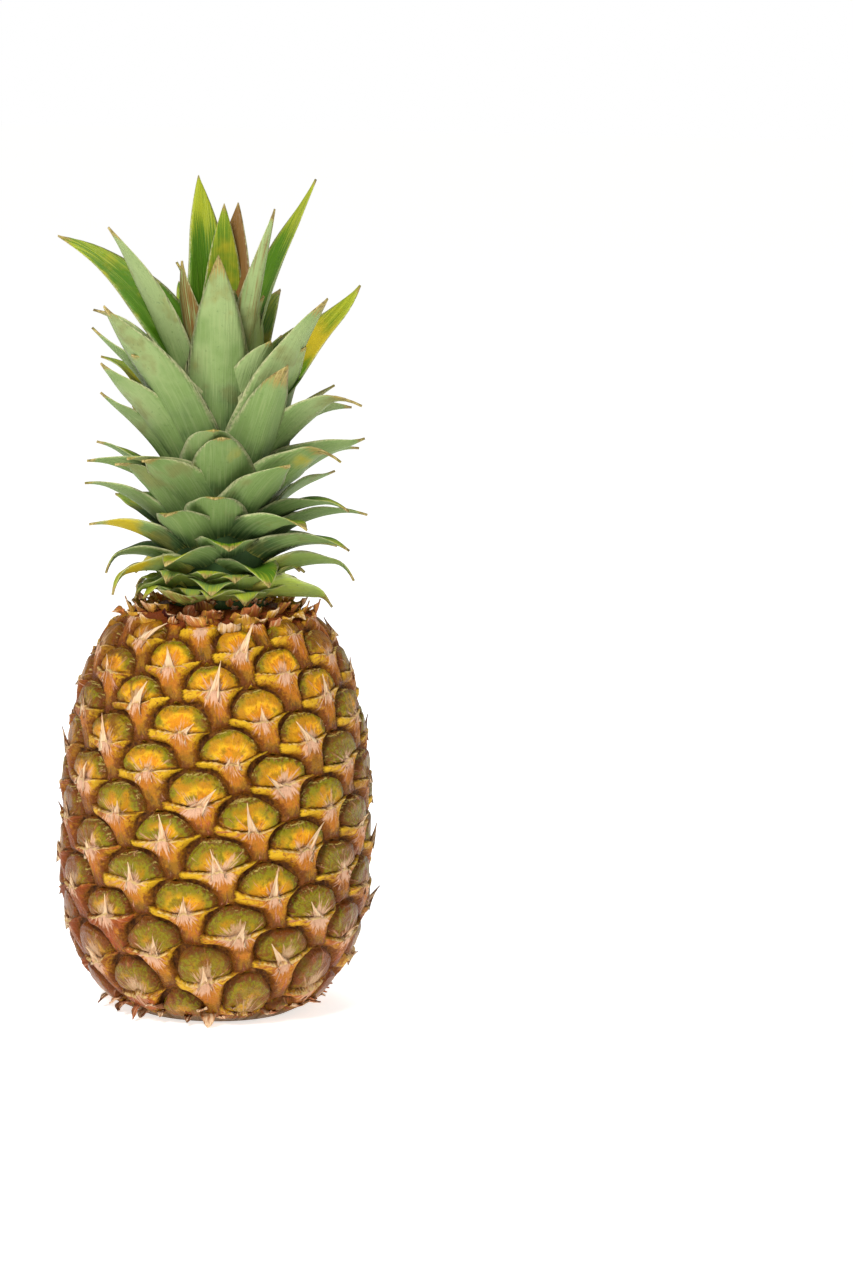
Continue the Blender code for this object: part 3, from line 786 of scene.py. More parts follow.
@dataclass
class FruitSkin:
    """The closed skin of the fruit with every eye modelled on its own small grid.

    An eye's cell is a parallelogram between the steps of eight and of thirteen eyes. cell_a and cell_b are
    those steps in millimetres, to the right and up, where the fruit is widest.
    """

    lattice: EyeLattice
    traits: EyeTraits
    steps: int = 27
    lowest: float = -77.0
    highest: float = 45.0
    crowding: float = 0.12
    cell_a: tuple[float, float] = (-21.0, 10.0)
    cell_b: tuple[float, float] = (13.0, 16.3)
    arch_half_width: float = 12.5
    arch_height: float = 12.3
    dome_height: float = 4.4
    dome_rounding: float = 5.0
    bract_height: float = 5.0
    bract_rounding: float = 2.6
    groove: float = 0.9
    hole_radius: float = 9.8
    hole_depth: float = 6.0
    bract_reach: float = 13.2
    outline_power: float = 2.3
    bead_waves: float = 39.0
    groove_waves: float = 34.0
    neighbours: tuple[tuple[int, int], ...] = ((1, 0), (0, 1), (-1, 0), (0, -1), (1, -1), (-1, 1), (-1, -1))

    def spread(self, share: Array) -> Array:
        """Move evenly spaced shares a little towards the edges of the cell."""
        return share + self.crowding * np.sin(TAU * share) / TAU

    def local(self, a: Array, b: Array) -> tuple[Array, Array]:
        """Place in the eye in millimetres, to the right and up, from the shares of the two steps."""
        return self.cell_a[0] * a + self.cell_b[0] * b, self.cell_a[1] * a + self.cell_b[1] * b

    def held(self, number: Array) -> Array:
        """Keep eye numbers to those that have traits."""
        return np.clip(number, self.traits.first, self.traits.last - 1)

    def lip_line(self, number: Array, x: Array) -> Array:
        """Height of the lip: it sags in the middle, rises to its two ends and has a point under the spine.

        Args:
            number: eye numbers.
            x: millimetres to the right of the spine.

        Returns:
            Millimetres above the middle of the eye.
        """
        traits = self.traits
        sag = 30.0 * traits.of(traits.lip_shift, number) - 0.6
        slope = 0.08 + 0.9 * traits.of(traits.lip_tilt, number)
        middle = sag * clamp(1.0 - np.abs(x) / 17.0)
        return middle + 2.1 * (np.abs(x) / 15.0) ** 1.7 + slope * x + 1.2 * hump(x, 0.0, 2.0)

    def arch(self, number: Array, a: Array, b: Array) -> Array:
        """Distance in millimetres inside the arched outline of an eye's dome, negative outside.

        The outline is a superellipse of outline_power above the level of the lip and flat there, a little
        larger, smaller, leaning and uneven from eye to eye.

        Args:
            number: eye numbers.
            a: shares of the step of eight.
            b: shares of the step of thirteen.

        Returns:
            Millimetres.
        """
        traits = self.traits
        x, y = self.local(a, b)
        width = self.arch_half_width * (1.0 + 0.5 * traits.of(traits.lip_shift, number))
        height = self.arch_height + 0.8 * traits.of(traits.dome_height, number)
        lean = 1.6 + 14.0 * traits.of(traits.lip_tilt, number)
        over_x = np.abs(x + lean * y / height) / width
        over_y = np.maximum(y, 0.0) / height
        power = self.outline_power
        inside = (1.0 - (over_x ** power + over_y ** power) ** (1.0 / power)) * self.arch_height
        under = -np.hypot(np.maximum(np.abs(x) - width, 0.0), y)
        uneven = 0.35 * ripple(np.stack((x, y, number * 7.3), axis=-1), 7.0, 51)
        return np.where(y < -0.5, np.where(y < -3.0, under, np.minimum(inside, 3.0 + y)), inside) + uneven

    def bract(self, number: Array, a: Array, b: Array) -> dict[str, Array]:
        """Relief and marks of an eye's bract, which fills what the domes of the eyes round it leave free.

        A slab that falls from the lip to the tail, rounded off towards those domes, with radial grooves.

        Args:
            number: eye numbers.
            a: shares of the step of eight.
            b: shares of the step of thirteen.

        Returns:
            Relief in millimetres and marks.
        """
        traits = self.traits
        chance = traits.of(traits.chance, number)
        x, y = self.local(a, b)
        down = clamp((self.lip_line(number, x) - y) / self.bract_reach, 0.0, 1.3)
        outside = np.full(np.shape(x), 50.0)
        for i, j in self.neighbours:
            other = self.held(number + i * self.lattice.step_a + j * self.lattice.step_b)
            outside = np.minimum(outside, -self.arch(other, a - i, b - j))
        edge = clamp(outside / self.bract_rounding)
        ray = np.arctan2(x, 13.0 * down + 4.0)
        crest = self.bract_height - 2.4 * down ** 1.1 - 1.0 * ease(np.abs(x), 7.0, 16.0)
        height = self.groove + (crest - self.groove) * (1.0 - (1.0 - edge) ** 2.2)
        height = height + 0.16 * np.cos(ray * self.groove_waves + 5.0 * chance) * ease(down, 0.1, 0.5) * edge
        height = height + 0.4 * hump(down, 0.03, 0.05) * clamp(1.0 - np.abs(x) / 14.0)
        return {
            "relief": height,
            "bract": 1.0 - 0.55 * ease(down, 0.08, 0.45),
            # low: groove colour, partly painted shade
            "low": 0.85 * (1.0 - ease(outside, -0.1, 1.1)),
            # near: painted shade on the bract towards the domes round it
            "near": ease(outside, 5.5, 0.3) * (0.35 + 0.75 * ease(down, 0.1, 0.6)),
            "lip": hump(down, 0.02, 0.035) * (1.0 - clamp(np.abs(x) / 15.0) ** 3) * edge,
            "core": np.exp(-((x / 5.6) ** 2 + ((down - 0.12) / 0.30) ** 2)),
            "tail": ease(down, 0.25, 0.95),
            "middle": hump(x, 0.0, 7.0),
            **self.character(number, x, self.bract_reach * down),
        }

    def dome(self, number: Array, a: Array, b: Array) -> dict[str, Array]:
        """Relief and marks of an eye's dome: a cushion with a beaded rim, pressed in along the lip.

        Args:
            number: eye numbers.
            a: shares of the step of eight.
            b: shares of the step of thirteen.

        Returns:
            Relief in millimetres and marks.
        """
        traits = self.traits
        chance = traits.of(traits.chance, number)
        x, y = self.local(a, b)
        inside = np.maximum(self.arch(number, a, b), 0.0)
        over = (y - self.lip_line(number, x)) / self.bract_reach
        angle = np.arctan2(y - 2.0, x)
        beads = 0.5 + 0.5 * np.cos(angle * self.bead_waves + 9.0 * chance)
        rim = hump(inside, 1.5, 0.75) * ease(over, 0.05, 0.25)
        crest = self.dome_height + traits.of(traits.dome_height, number)
        rounded = 1.0 - (1.0 - clamp(inside / self.dome_rounding)) ** 2.6
        height = self.groove + (crest - self.groove) * rounded
        height = height + rim * (0.1 + 0.42 * beads) - 0.35 * hump(inside, 3.0, 0.7) * ease(over, 0.1, 0.3)
        height = height - 1.1 * hump(over, 0.0, 0.07) * clamp(inside / 3.0)
        return {
            "relief": height,
            "dome": np.ones_like(height),
            # low: groove colour round the dome, partly painted shade
            "low": 1.0 - ease(inside, -0.1, 0.8),
            # near: painted shade on the dome towards its edge
            "near": ease(inside, 4.5, 0.3),
            "rimness": ease(inside, 6.4, 1.0) * ease(over, -0.1, 0.35),
            "amber": np.exp(-((x / 8.2) ** 2 + ((over - 0.22) / 0.34) ** 2)),
            # pale rim beads, partly painted glints
            "bead_and_glint": hump(inside, 1.5, 0.6) * ease(over, 0.12, 0.4) * (0.2 + 0.8 * beads),
            # painted shadow under the lip
            "painted_lip_shadow": hump(over, 0.03, 0.032) * (1.0 - 0.7 * hump(x, 0.0, 3.0)),
            "core": np.exp(-((x / 5.0) ** 2 + ((over + 0.04) / 0.32) ** 2)),
            "patch": np.exp(-((x / 5.6) ** 2 + ((over - 0.18) / 0.26) ** 2)),
            **self.character(number, x, y),
        }

    def character(self, number: Array, x: Array, away: Array) -> dict[str, Array]:
        """Marks that an eye's own parts share: its traits and fibres that run out from the spine's root.

        Args:
            number: eye numbers.
            x: millimetres to the right of the spine.
            away: millimetres up or down from the lip.

        Returns:
            The marks.
        """
        traits = self.traits
        chance = traits.of(traits.chance, number)
        fibre = np.stack((np.arctan2(x, np.abs(away) + 2.7) * 8.0, away / 6.0, chance * 40.0), axis=-1)
        return {"ripe": traits.of(traits.ripe, number), "blush": traits.of(traits.blush, number),
                "grey": traits.of(traits.grey, number), "wax": traits.of(traits.wax, number), "fibre": fibre}

    def mix(self, parts: list[tuple[dict[str, Array], Array]]) -> dict[str, Array]:
        """Add up tables of relief and marks by their shares. A mark that a part lacks counts as zero.

        Args:
            parts: each part's table with its share.

        Returns:
            The summed table.
        """
        total: dict[str, Array] = {}
        for part, share in parts:
            for name, value in part.items():
                total[name] = total.get(name, 0.0) + value * (share[..., None] if name == "fibre" else share)
        return total

    def eye(self, number: Array, a: Array, b: Array) -> dict[str, Array]:
        """Relief and marks inside the cells of the eyes.

        A point above the lip and inside the arch lies on the eye's dome. Elsewhere it lies on the highest of
        the bracts that reach it: the eye's own, the tails of the two above and the wings of the two below.

        Args:
            number: eye numbers.
            a: shares of the step of eight, -0.5 to 0.5.
            b: shares of the step of thirteen.

        Returns:
            Arrays of relief in millimetres and of marks, mostly between 0 and 1.
        """
        step_a, step_b = self.lattice.step_a, self.lattice.step_b
        x, y = self.local(a, b)
        marks: dict[str, Array] = {}
        for i, j in ((1, 0), (0, 1), (0, 0), (-1, 0), (0, -1)):
            other = self.held(number + i * step_a + j * step_b)
            other_x, other_y = self.local(a - i, b - j)
            bract = self.bract(other, a - i, b - j)
            bract["relief"] = bract["relief"] - 2.6 * ease(np.abs(other_x), 11.0, 18.0)
            share = ease(self.lip_line(other, other_x) - other_y, -0.16, 0.16)
            if marks:
                above = ease(bract["relief"] - marks["relief"], -0.12, 0.12)
                share = share * above * (np.abs(other_x) < 19.0)
                marks = self.mix([(marks, 1.0 - share), (bract, share)])
            else:
                marks = bract
        side = ease(y - self.lip_line(number, x), -0.16, 0.16)
        domed = side * ease(self.arch(number, a, b), -0.05, 0.05)
        marks = self.mix([(marks, 1.0 - domed), (self.dome(number, a, b), domed)])
        return marks

    def build(self, material: bpy.types.Material) -> bpy.types.Object:
        """Lay the eyes' grids side by side, weld them by number and close both ends.

        Args:
            material: finish of the piece.

        Returns:
            The piece.
        """
        steps, step_a, step_b = self.steps, self.lattice.step_a, self.lattice.step_b
        numbers = self.traits.numbers[:len(self.traits.numbers) - step_a - step_b]
        n, i, j = np.meshgrid(numbers, np.arange(steps), np.arange(steps), indexing="ij")
        lowest = n + step_a * (i / steps - 0.5) + step_b * (j / steps - 0.5)
        kept = (lowest >= self.lowest) & (lowest + (step_a + step_b) / steps <= self.highest)
        n, i, j = n[kept], i[kept], j[kept]

        triangle_steps = (((0, 0), (0, 1), (1, 0)), ((0, 1), (1, 1), (1, 0)))
        own_i, own_j = (np.stack([np.stack([base + step[axis] for step in corner], axis=-1)
                                  for corner in triangle_steps], axis=1).reshape(-1, 3)
                        for axis, base in enumerate((i, j)))
        own_n = np.repeat(n, 2)[:, None] + np.zeros((1, 3), dtype=int)
        held_n = own_n + step_a * (own_i == steps) + step_b * (own_j == steps)
        key = ((held_n - self.traits.first) * steps + own_i % steps) * steps + own_j % steps
        keys, faces = np.unique(key, return_inverse=True)
        faces = faces.reshape(-1, 3)
        number = keys // (steps * steps) + self.traits.first
        a = self.spread((keys // steps) % steps / steps - 0.5)
        b = self.spread(keys % steps / steps - 0.5)
        relief = self.eye(number, a, b)["relief"]
        points = self.lattice.surface(number, a, b, relief)
        uneven = ripple(points, 10.0, 31) * 0.26 + ripple(points, 3.6, 32) * 0.12
        points[:, :2] *= (1.0 + uneven * clamp(relief) / self.lattice.widest_radius)[:, None]

        used = np.unique(own_n)
        share = self.spread(np.arange(steps + 1) / steps - 0.5)
        grid = self.eye(*np.meshgrid(used, share, share, indexing="ij"))
        place = (np.searchsorted(used, own_n), own_i, own_j)
        corner_marks = {name: value[place] for name, value in grid.items()}
        points, ends = self.close_ends(points, faces)
        piece = new_piece("pineapple_skin", points, [faces, *ends], material)
        self.mark_eyes(piece, corner_marks, points[faces], points, ends)
        return piece

    def close_ends(self, points: Array, faces: Array) -> tuple[Array, list[Array]]:
        """Close the open rims with level rings.

        Each ring repeats the azimuths of the rim at its own radius and height: below, the flat foot with the
        stalk's hole in it, and above, the seat of the crown. The last ring ends in one middle point.

        Args:
            points: points of the open skin.
            faces: its triangles.

        Returns:
            All points, and the faces of both ends.
        """
        sides = np.sort(np.concatenate((faces[:, (0, 1)], faces[:, (1, 2)], faces[:, (2, 0)])), axis=1)
        edges, counts = np.unique(sides, axis=0, return_counts=True)
        rim = np.unique(edges[counts == 1])
        low = rim[points[rim, 2] < self.lattice.widest_height]
        high = rim[points[rim, 2] >= self.lattice.widest_height]
        foot = ((self.lattice.foot_radius - 1.5, 0.0), (27.0, 0.0), (19.0, 0.0), (12.5, 0.0),
                (self.hole_radius, 0.0), (self.hole_radius, self.hole_depth))
        seat = ((self.lattice.collar_radius + 2.0, self.lattice.top), (12.0, self.lattice.top))
        new_faces: list[Array] = []
        for loop, rings, flip in ((low, foot, True), (high, seat, False)):
            azimuth = np.arctan2(points[loop, 0], -points[loop, 1])
            order = np.argsort(azimuth)
            previous = loop[order]
            away = outward(azimuth[order])
            for radius, height in rings:
                current = np.arange(len(loop)) + len(points)
                points = np.concatenate((points, away * radius + UP * height))
                quads = np.stack((previous, np.roll(previous, -1), np.roll(current, -1), current), axis=1)
                new_faces.append(quads[:, ::-1] if flip else quads)
                previous = current
            pole = np.full(len(loop), len(points))
            points = np.concatenate((points, (UP * rings[-1][1])[None]))
            fan = np.stack((previous, np.roll(previous, -1), pole), axis=1)
            new_faces.append(fan[:, ::-1] if flip else fan)
        return points, new_faces

    def mark_eyes(self, piece: bpy.types.Object, marks: dict[str, Array], places: Array, points: Array,
                  ends: list[Array]) -> None:
        """Store the marks of the eyes for each corner, and plain ones on the closed ends.

        Ripeness falls towards the foot and towards the right side, red blush grows towards the left side and
        the foot, and grey wax grows towards the foot. All follow a slow unevenness and each eye's own trait.
        Painted shade, with some duller colour, darkens the domes and bracts towards the left and right as
        seen from the front, towards the foot and towards the shoulder.

        Args:
            piece: the skin.
            marks: marks that the eyes gave for the corners of its triangles.
            places: places of those corners in millimetres.
            points: all points of the piece.
            ends: faces of its closed ends, which follow the triangles.
        """
        azimuth = np.arctan2(places[..., 0], -places[..., 1])
        height = places[..., 2] / self.lattice.top
        # left and right peak at the sides as seen from the front and fall again at the back; the darkening
        # that follows them in dull and side is partly painted shade
        back = ease(np.abs(azimuth), 2.9, 1.8)
        left, right = ease(-azimuth, 0.35, 1.3) * back, ease(azimuth, 0.35, 1.3) * back
        low = ease(height, 0.5, 0.15)
        ripe = clamp(0.50 + 0.46 * ease(height, 0.3, 0.9) - 0.48 * right - 0.26 * left
                     + 0.13 * ripple(places, 70.0, 3) + marks["ripe"])
        blush = clamp(0.12 + 0.62 * left * ease(height, 1.1, 0.5) + 0.36 * low + 0.2 * ripple(places, 40.0, 4)
                      + marks["blush"])
        grey = clamp(0.12 + 0.75 * low + 0.25 * left + marks["grey"])
        dome, bract, rimness = (marks[name] for name in ("dome", "bract", "rimness"))
        wax = marks["core"] * marks["wax"]
        values = {
            "amber": marks["amber"] * (0.6 + 0.7 * ripe),
            "olive": dome * (0.15 + 0.9 * (1.0 - ripe)) + 0.75 * rimness,
            "green": rimness * (0.45 + 0.85 * (1.0 - ripe)) * (1.0 - 0.15 * low),
            # dull: partly painted shade at the sides and the foot
            "dull": dome * (0.55 * low + 0.35 * right + 0.35 * left),
            "warm": 0.85 * marks["middle"] + 0.55 * bract * blush,
            # side: painted shade, with some duller colour
            "side": (left + 0.6 * right + 0.3 * low + 0.4 * ease(height, 0.78, 0.98)
                     + 0.25 * ripple(places, 30.0, 6)),
            "blush": blush * (0.45 + 0.85 * bract),
            "wax": wax,
            "grey": marks["patch"] * grey + 0.35 * wax * grey,
            # rim beads and their painted glints, fewer towards the foot
            "bead_and_glint": marks["bead_and_glint"] * (1.0 - 0.8 * low),
            "collar": 0.7 * ease(height, 0.98, 1.0),
            "matt": np.maximum(0.6 * bract + wax, marks["low"]),
        }
        own = ("bract", "tail", "lip", "low", "near", "painted_lip_shadow", "fibre")
        values.update({name: marks[name] for name in own})
        values["foot"] = np.zeros_like(height)
        corners = np.concatenate([part.ravel() for part in ends])
        level = points[corners, 2]
        rest = {"foot": level < 0.1, "bract": 1.0, "tail": 0.9, "warm": 0.5, "blush": 0.5, "matt": 0.5,
                "collar": level > 100.0, "dull": 0.5}
        for name, value in values.items():
            if name == "fibre":
                whole = np.concatenate((value.reshape(-1, 3), points[corners] / 2.0))
            else:
                whole = np.concatenate((value.ravel(), np.zeros(len(corners)) + rest.get(name, 0.0)))
            mark_piece(piece, name, whole, "CORNER")


@dataclass
class Spines:
    """The papery spines that rise from the middle of the lips, each a thin folded blade with a needle tip."""

    lattice: EyeLattice
    lowest: int = -70
    highest: int = 38
    stations: int = 10
    columns: int = 5
    lengths: tuple[float, float] = (9.5, 17.0)
    half_width: float = 3.3
    seed: int = 7

    def build(self, material: bpy.types.Material) -> bpy.types.Object:
        """Stand one spine in each eye.

        The path leaves the lip along the rising direction, swung sideways and leaned outwards, and bends by
        a square law. Half the width falls with a power of the share left, to a needle.

        Args:
            material: finish of the piece.

        Returns:
            The piece.
        """
        draw = np.random.default_rng(self.seed)
        number = np.arange(self.lowest, self.highest + 1)
        count = len(number)
        azimuth, point, normal, side, rise = self.lattice.stand(number.astype(float))
        side_on = ease(np.abs(np.arctan2(np.sin(azimuth), np.cos(azimuth))), 0.8, 1.3)
        length = draw.uniform(*self.lengths, count) * np.where(draw.uniform(size=count) < 0.16, 0.6, 1.0)
        length = length * (1.0 - 0.35 * side_on)
        swing = np.radians(draw.normal(0.0, 22.0, count))
        lean = np.radians(draw.uniform(8.0, 30.0, count))
        curl = draw.normal(0.0, 1.6, count)
        sway = draw.normal(0.0, 1.6, count)
        share = np.linspace(0.0, 1.0, self.stations)
        flat = rise * np.cos(swing)[:, None] + side * np.sin(swing)[:, None]
        along = flat * np.cos(lean)[:, None] + normal * np.sin(lean)[:, None]
        beside = side * np.cos(swing)[:, None] - rise * np.sin(swing)[:, None]
        root = point - normal * 1.3 - rise * 2.4
        reach = share[None, :, None] * length[:, None, None]
        bend = share[None, :, None] ** 2
        path = root[:, None] + along[:, None] * reach
        path = path + normal[:, None] * bend * curl[:, None, None]
        path = path + beside[:, None] * bend * sway[:, None, None]
        width = self.half_width * draw.uniform(0.75, 1.2, count)
        half_width = width[:, None] * ((1.0 - share) ** 1.5 * 0.93 + 0.04)
        fold = np.abs(np.linspace(-1.0, 1.0, self.columns)) ** 1.3
        rise_mm = 0.8 * half_width[..., None] * fold
        thinning = (1.0 - 0.6 * share)[None, :, None]
        thickness = np.broadcast_to(0.42 * (1.0 - fold) + 0.08, rise_mm.shape) * thinning
        across = np.broadcast_to(beside[:, None], path.shape)
        chance = draw.uniform(size=count)
        batch = BladeBatch(path, across, half_width, -rise_mm, thickness, chance, (0.5, 8.0))
        # tone: darker at random and towards the drying tips, and towards the left and right as seen from the
        # front, which is painted shade
        tone = 0.05 + 0.55 * side_on + draw.uniform(-0.1, 0.25, count)
        marks = {"tone": tone[:, None, None] + 0.35 * share[None, :, None] ** 3,
                 "pink": 0.5 * (1.0 - share)[None, :, None] ** 2 * np.ones((count, 1, 1)),
                 "gold": np.zeros(count), "hollow": np.zeros(count)}
        return batch.piece("papery_spines", material, marks)


@dataclass
class DryBracts:
    """Rows of small dry bracts: the collar crowded round the shoulder, or the last few at the foot.

    heights and lengths are in millimetres and tilts in degrees up from level. gold, pink and hollow are how
    much of each colour the bracts have, and dark is how brown they are. hollow is a dark maroon that is
    painted shade of the hollows between the bracts.
    """

    name: str
    lattice: EyeLattice
    count: int
    heights: tuple[float, float]
    lengths: tuple[float, float]
    tilts: tuple[float, float]
    half_width: float
    sink: tuple[float, float]
    dark: tuple[float, float]
    gold: tuple[float, float]
    pink: tuple[float, float]
    hollow_chance: float
    seed: int
    stations: int = 9
    columns: int = 7

    def build(self, material: bpy.types.Material) -> bpy.types.Object:
        """Stand the bracts up the golden spiral, with hollow faces and wavy edges.

        Args:
            material: finish of the piece.

        Returns:
            The piece.
        """
        draw = np.random.default_rng(self.seed)
        number = np.arange(self.count)
        share_up = (number + 0.5) / self.count
        height = self.heights[0] + (self.heights[1] - self.heights[0]) * share_up ** 0.62
        azimuth = self.lattice.front_eye_azimuth + number * GOLDEN_TURN + draw.normal(0.0, 0.07, self.count)
        radius = self.lattice.radius(height)
        out, side = outward(azimuth), sideways(azimuth)
        tilt = np.radians(draw.uniform(*self.tilts, self.count))
        swing = draw.normal(0.0, 0.28, self.count)
        along = out * np.cos(tilt)[:, None] + UP * np.sin(tilt)[:, None] + side * swing[:, None]
        sink_in, sink_down = self.sink
        root = out * (radius - sink_in)[:, None] + UP * (height - sink_down)[:, None]
        length = draw.uniform(*self.lengths, self.count) * (1.0 - 0.25 * share_up)
        share = np.linspace(0.0, 1.0, self.stations)
        curl = draw.normal(0.6, 1.6, self.count)
        sway = draw.normal(0.0, 1.4, self.count)
        path = root[:, None] + along[:, None] * (share[None, :, None] * length[:, None, None])
        path = path + UP * (share ** 2)[None, :, None] * curl[:, None, None]
        path = path + side[:, None] * (share ** 2)[None, :, None] * sway[:, None, None]
        path[..., 2] = np.maximum(path[..., 2], 0.6)
        width = self.half_width * draw.uniform(0.5, 1.15, self.count)
        half_width = width[:, None] * (np.cos(0.5 * math.pi * share ** 1.4) * 0.95 + 0.04)
        cup = np.linspace(-1.0, 1.0, self.columns) ** 2
        wave = 0.3 * np.sin(share[:, None] * 9.0 + np.linspace(-1.0, 1.0, self.columns) * 4.0)
        rise_mm = half_width[..., None] * (0.55 * cup + wave * cup)
        thickness = np.broadcast_to(0.5 * (1.0 - cup) + 0.1, rise_mm.shape)
        batch = BladeBatch(path, np.broadcast_to(side[:, None], path.shape), half_width, rise_mm, thickness,
                           draw.uniform(size=self.count), (0.6, 6.0))
        tip = share[None, :, None] ** 2
        marks = {"tone": draw.uniform(*self.dark, self.count)[:, None, None] + 0.3 * tip,
                 "gold": draw.uniform(*self.gold, self.count)[:, None, None] * (1.15 - tip),
                 "pink": draw.uniform(*self.pink, self.count)}
        # hollow bracts are painted dark as shade of the gaps, most at their base
        hollow = np.where(draw.uniform(size=self.count) < self.hollow_chance, 1.0, 0.0)
        marks["hollow"] = hollow[:, None, None] * (1.0 - 0.7 * tip)
        return batch.piece(self.name, material, marks)


@dataclass(frozen=True)
class SeenLeaf:
    """A leaf whose tip the photograph shows: azimuth in degrees, reach and height of the tip in millimetres.

    hook is how far the tip turns inwards (or outwards where negative), dry the dried share of its length,
    gold the yellowed part, bronze the browned one, and fold how much more than usual its sides close up.
    face is how many degrees the blade twists to show its outer face to the front (or its inner one where
    negative), and slim scales its width.
    """

    azimuth: float
    reach: float
    height: float
    hook: float = -1.5
    dry: float = 0.05
    gold: float = 0.0
    bronze: float = 0.0
    fold: float = 1.0
    face: float = 16.0
    slim: float = 1.0


SEEN_LEAVES: dict[int, SeenLeaf] = {
    2: SeenLeaf(75, 46, 166, -4, 0.17),
    3: SeenLeaf(-75, 34, 168, -4, 0.1),
    5: SeenLeaf(-5, 36, 171, -2, 0.07, 0.3),
    7: SeenLeaf(82, 54, 178, -6, 0.07),
    8: SeenLeaf(-68, 47, 172, -6, 0.07, 0.7),
    10: SeenLeaf(30, 39, 174, -2, 0.08, 0.3),
    11: SeenLeaf(-88, 46, 179, -6, 0.07),
    13: SeenLeaf(-32, 40, 181, -1, 0.11, 0.4),
    15: SeenLeaf(70, 54, 187, -2, 0.07),
    16: SeenLeaf(-80, 52, 194, -1, 0.07, 1),
    18: SeenLeaf(5, 40, 188, -1, 0.13),
    20: SeenLeaf(88, 58, 199, -1.5, 0.06),
    21: SeenLeaf(-27, 46, 202, -2, 0.13, 0.3),
    23: SeenLeaf(42, 50, 197, -2, 0.13, 0.3),
    24: SeenLeaf(-92, 53, 210, -2, 0.06),
    26: SeenLeaf(-3, 42, 209, -2, 0.11),
    28: SeenLeaf(75, 52, 203, -3, 0.07),
    29: SeenLeaf(-62, 44, 221, -4, 0.11),
    31: SeenLeaf(35, 46, 221, -1, 0.08),
    34: SeenLeaf(-42, 44, 223, -3, 0.13),
    36: SeenLeaf(58, 51, 228, -8, 0.21, 0.4),
    37: SeenLeaf(-80, 53, 219, -1, 0.06),
    39: SeenLeaf(0, 42, 233, -3, 0.1, 0.3),
    41: SeenLeaf(87, 57, 226, 2, 0.06),
    42: SeenLeaf(-55, 44, 222),
    44: SeenLeaf(32, 46, 260, -2, 0.2, 0, 0, 1.5, 10, 0.88),
    45: SeenLeaf(-97, 49, 243, 1, 0.06),
    47: SeenLeaf(-4, 43, 235),
    49: SeenLeaf(70, 54, 249, -8, 0.15),
    50: SeenLeaf(-74, 50, 256, 1, 0.06),
    52: SeenLeaf(50, 52, 285, -1, 0.11, 0, 0, 1, 16, 0.82),
    54: SeenLeaf(101, 52, 241, -2, 0.06),
    55: SeenLeaf(-55, 57, 279, 1.5, 0.07),
    57: SeenLeaf(52, 40, 266),
    58: SeenLeaf(-88, 52, 269, 1, 0.06),
    60: SeenLeaf(-5, 22, 300, -2, 0.1, 0.2),
    62: SeenLeaf(88, 56, 286, 3, 0.04, 0.8, 0, 0.8, -32),
    63: SeenLeaf(-55, 42, 262),
    65: SeenLeaf(37, 30, 268),
    68: SeenLeaf(-22, 18, 272),
    70: SeenLeaf(62, 12, 295, 0, 0.07, 0, 0.2, 1.4),
    71: SeenLeaf(-74, 46, 310, -1, 0.06, 0.2, 0, 0.9, 18, 0.75),
    73: SeenLeaf(8, 14, 278),
    75: SeenLeaf(110, 24, 268),
    76: SeenLeaf(-60, 20, 297, 1, 0.07, 0, 0.6, 1, 0, 0.75),
    77: SeenLeaf(180, 12, 319, 0, 0.04, 0.6, 0, 1, 0, 0.8),
    78: SeenLeaf(45, 28, 318, 0, 0.07, 0, 0.3, 2.2, 0, 0.5),
    79: SeenLeaf(-112, 70, 306, -2, 0.06, 0.6, 0, 0.8, -45),
    80: SeenLeaf(124, 45, 328, 1, 0.04),
    81: SeenLeaf(-11, 10, 284),
    82: SeenLeaf(-163, 36, 329, 0, 0.03),
    83: SeenLeaf(69, 16, 284),
    84: SeenLeaf(-60, 14, 284),
    85: SeenLeaf(165, 22, 319, 0, 0.04, 0, 1),
    86: SeenLeaf(29, 8, 286),
    87: SeenLeaf(-118, 20, 296),
}


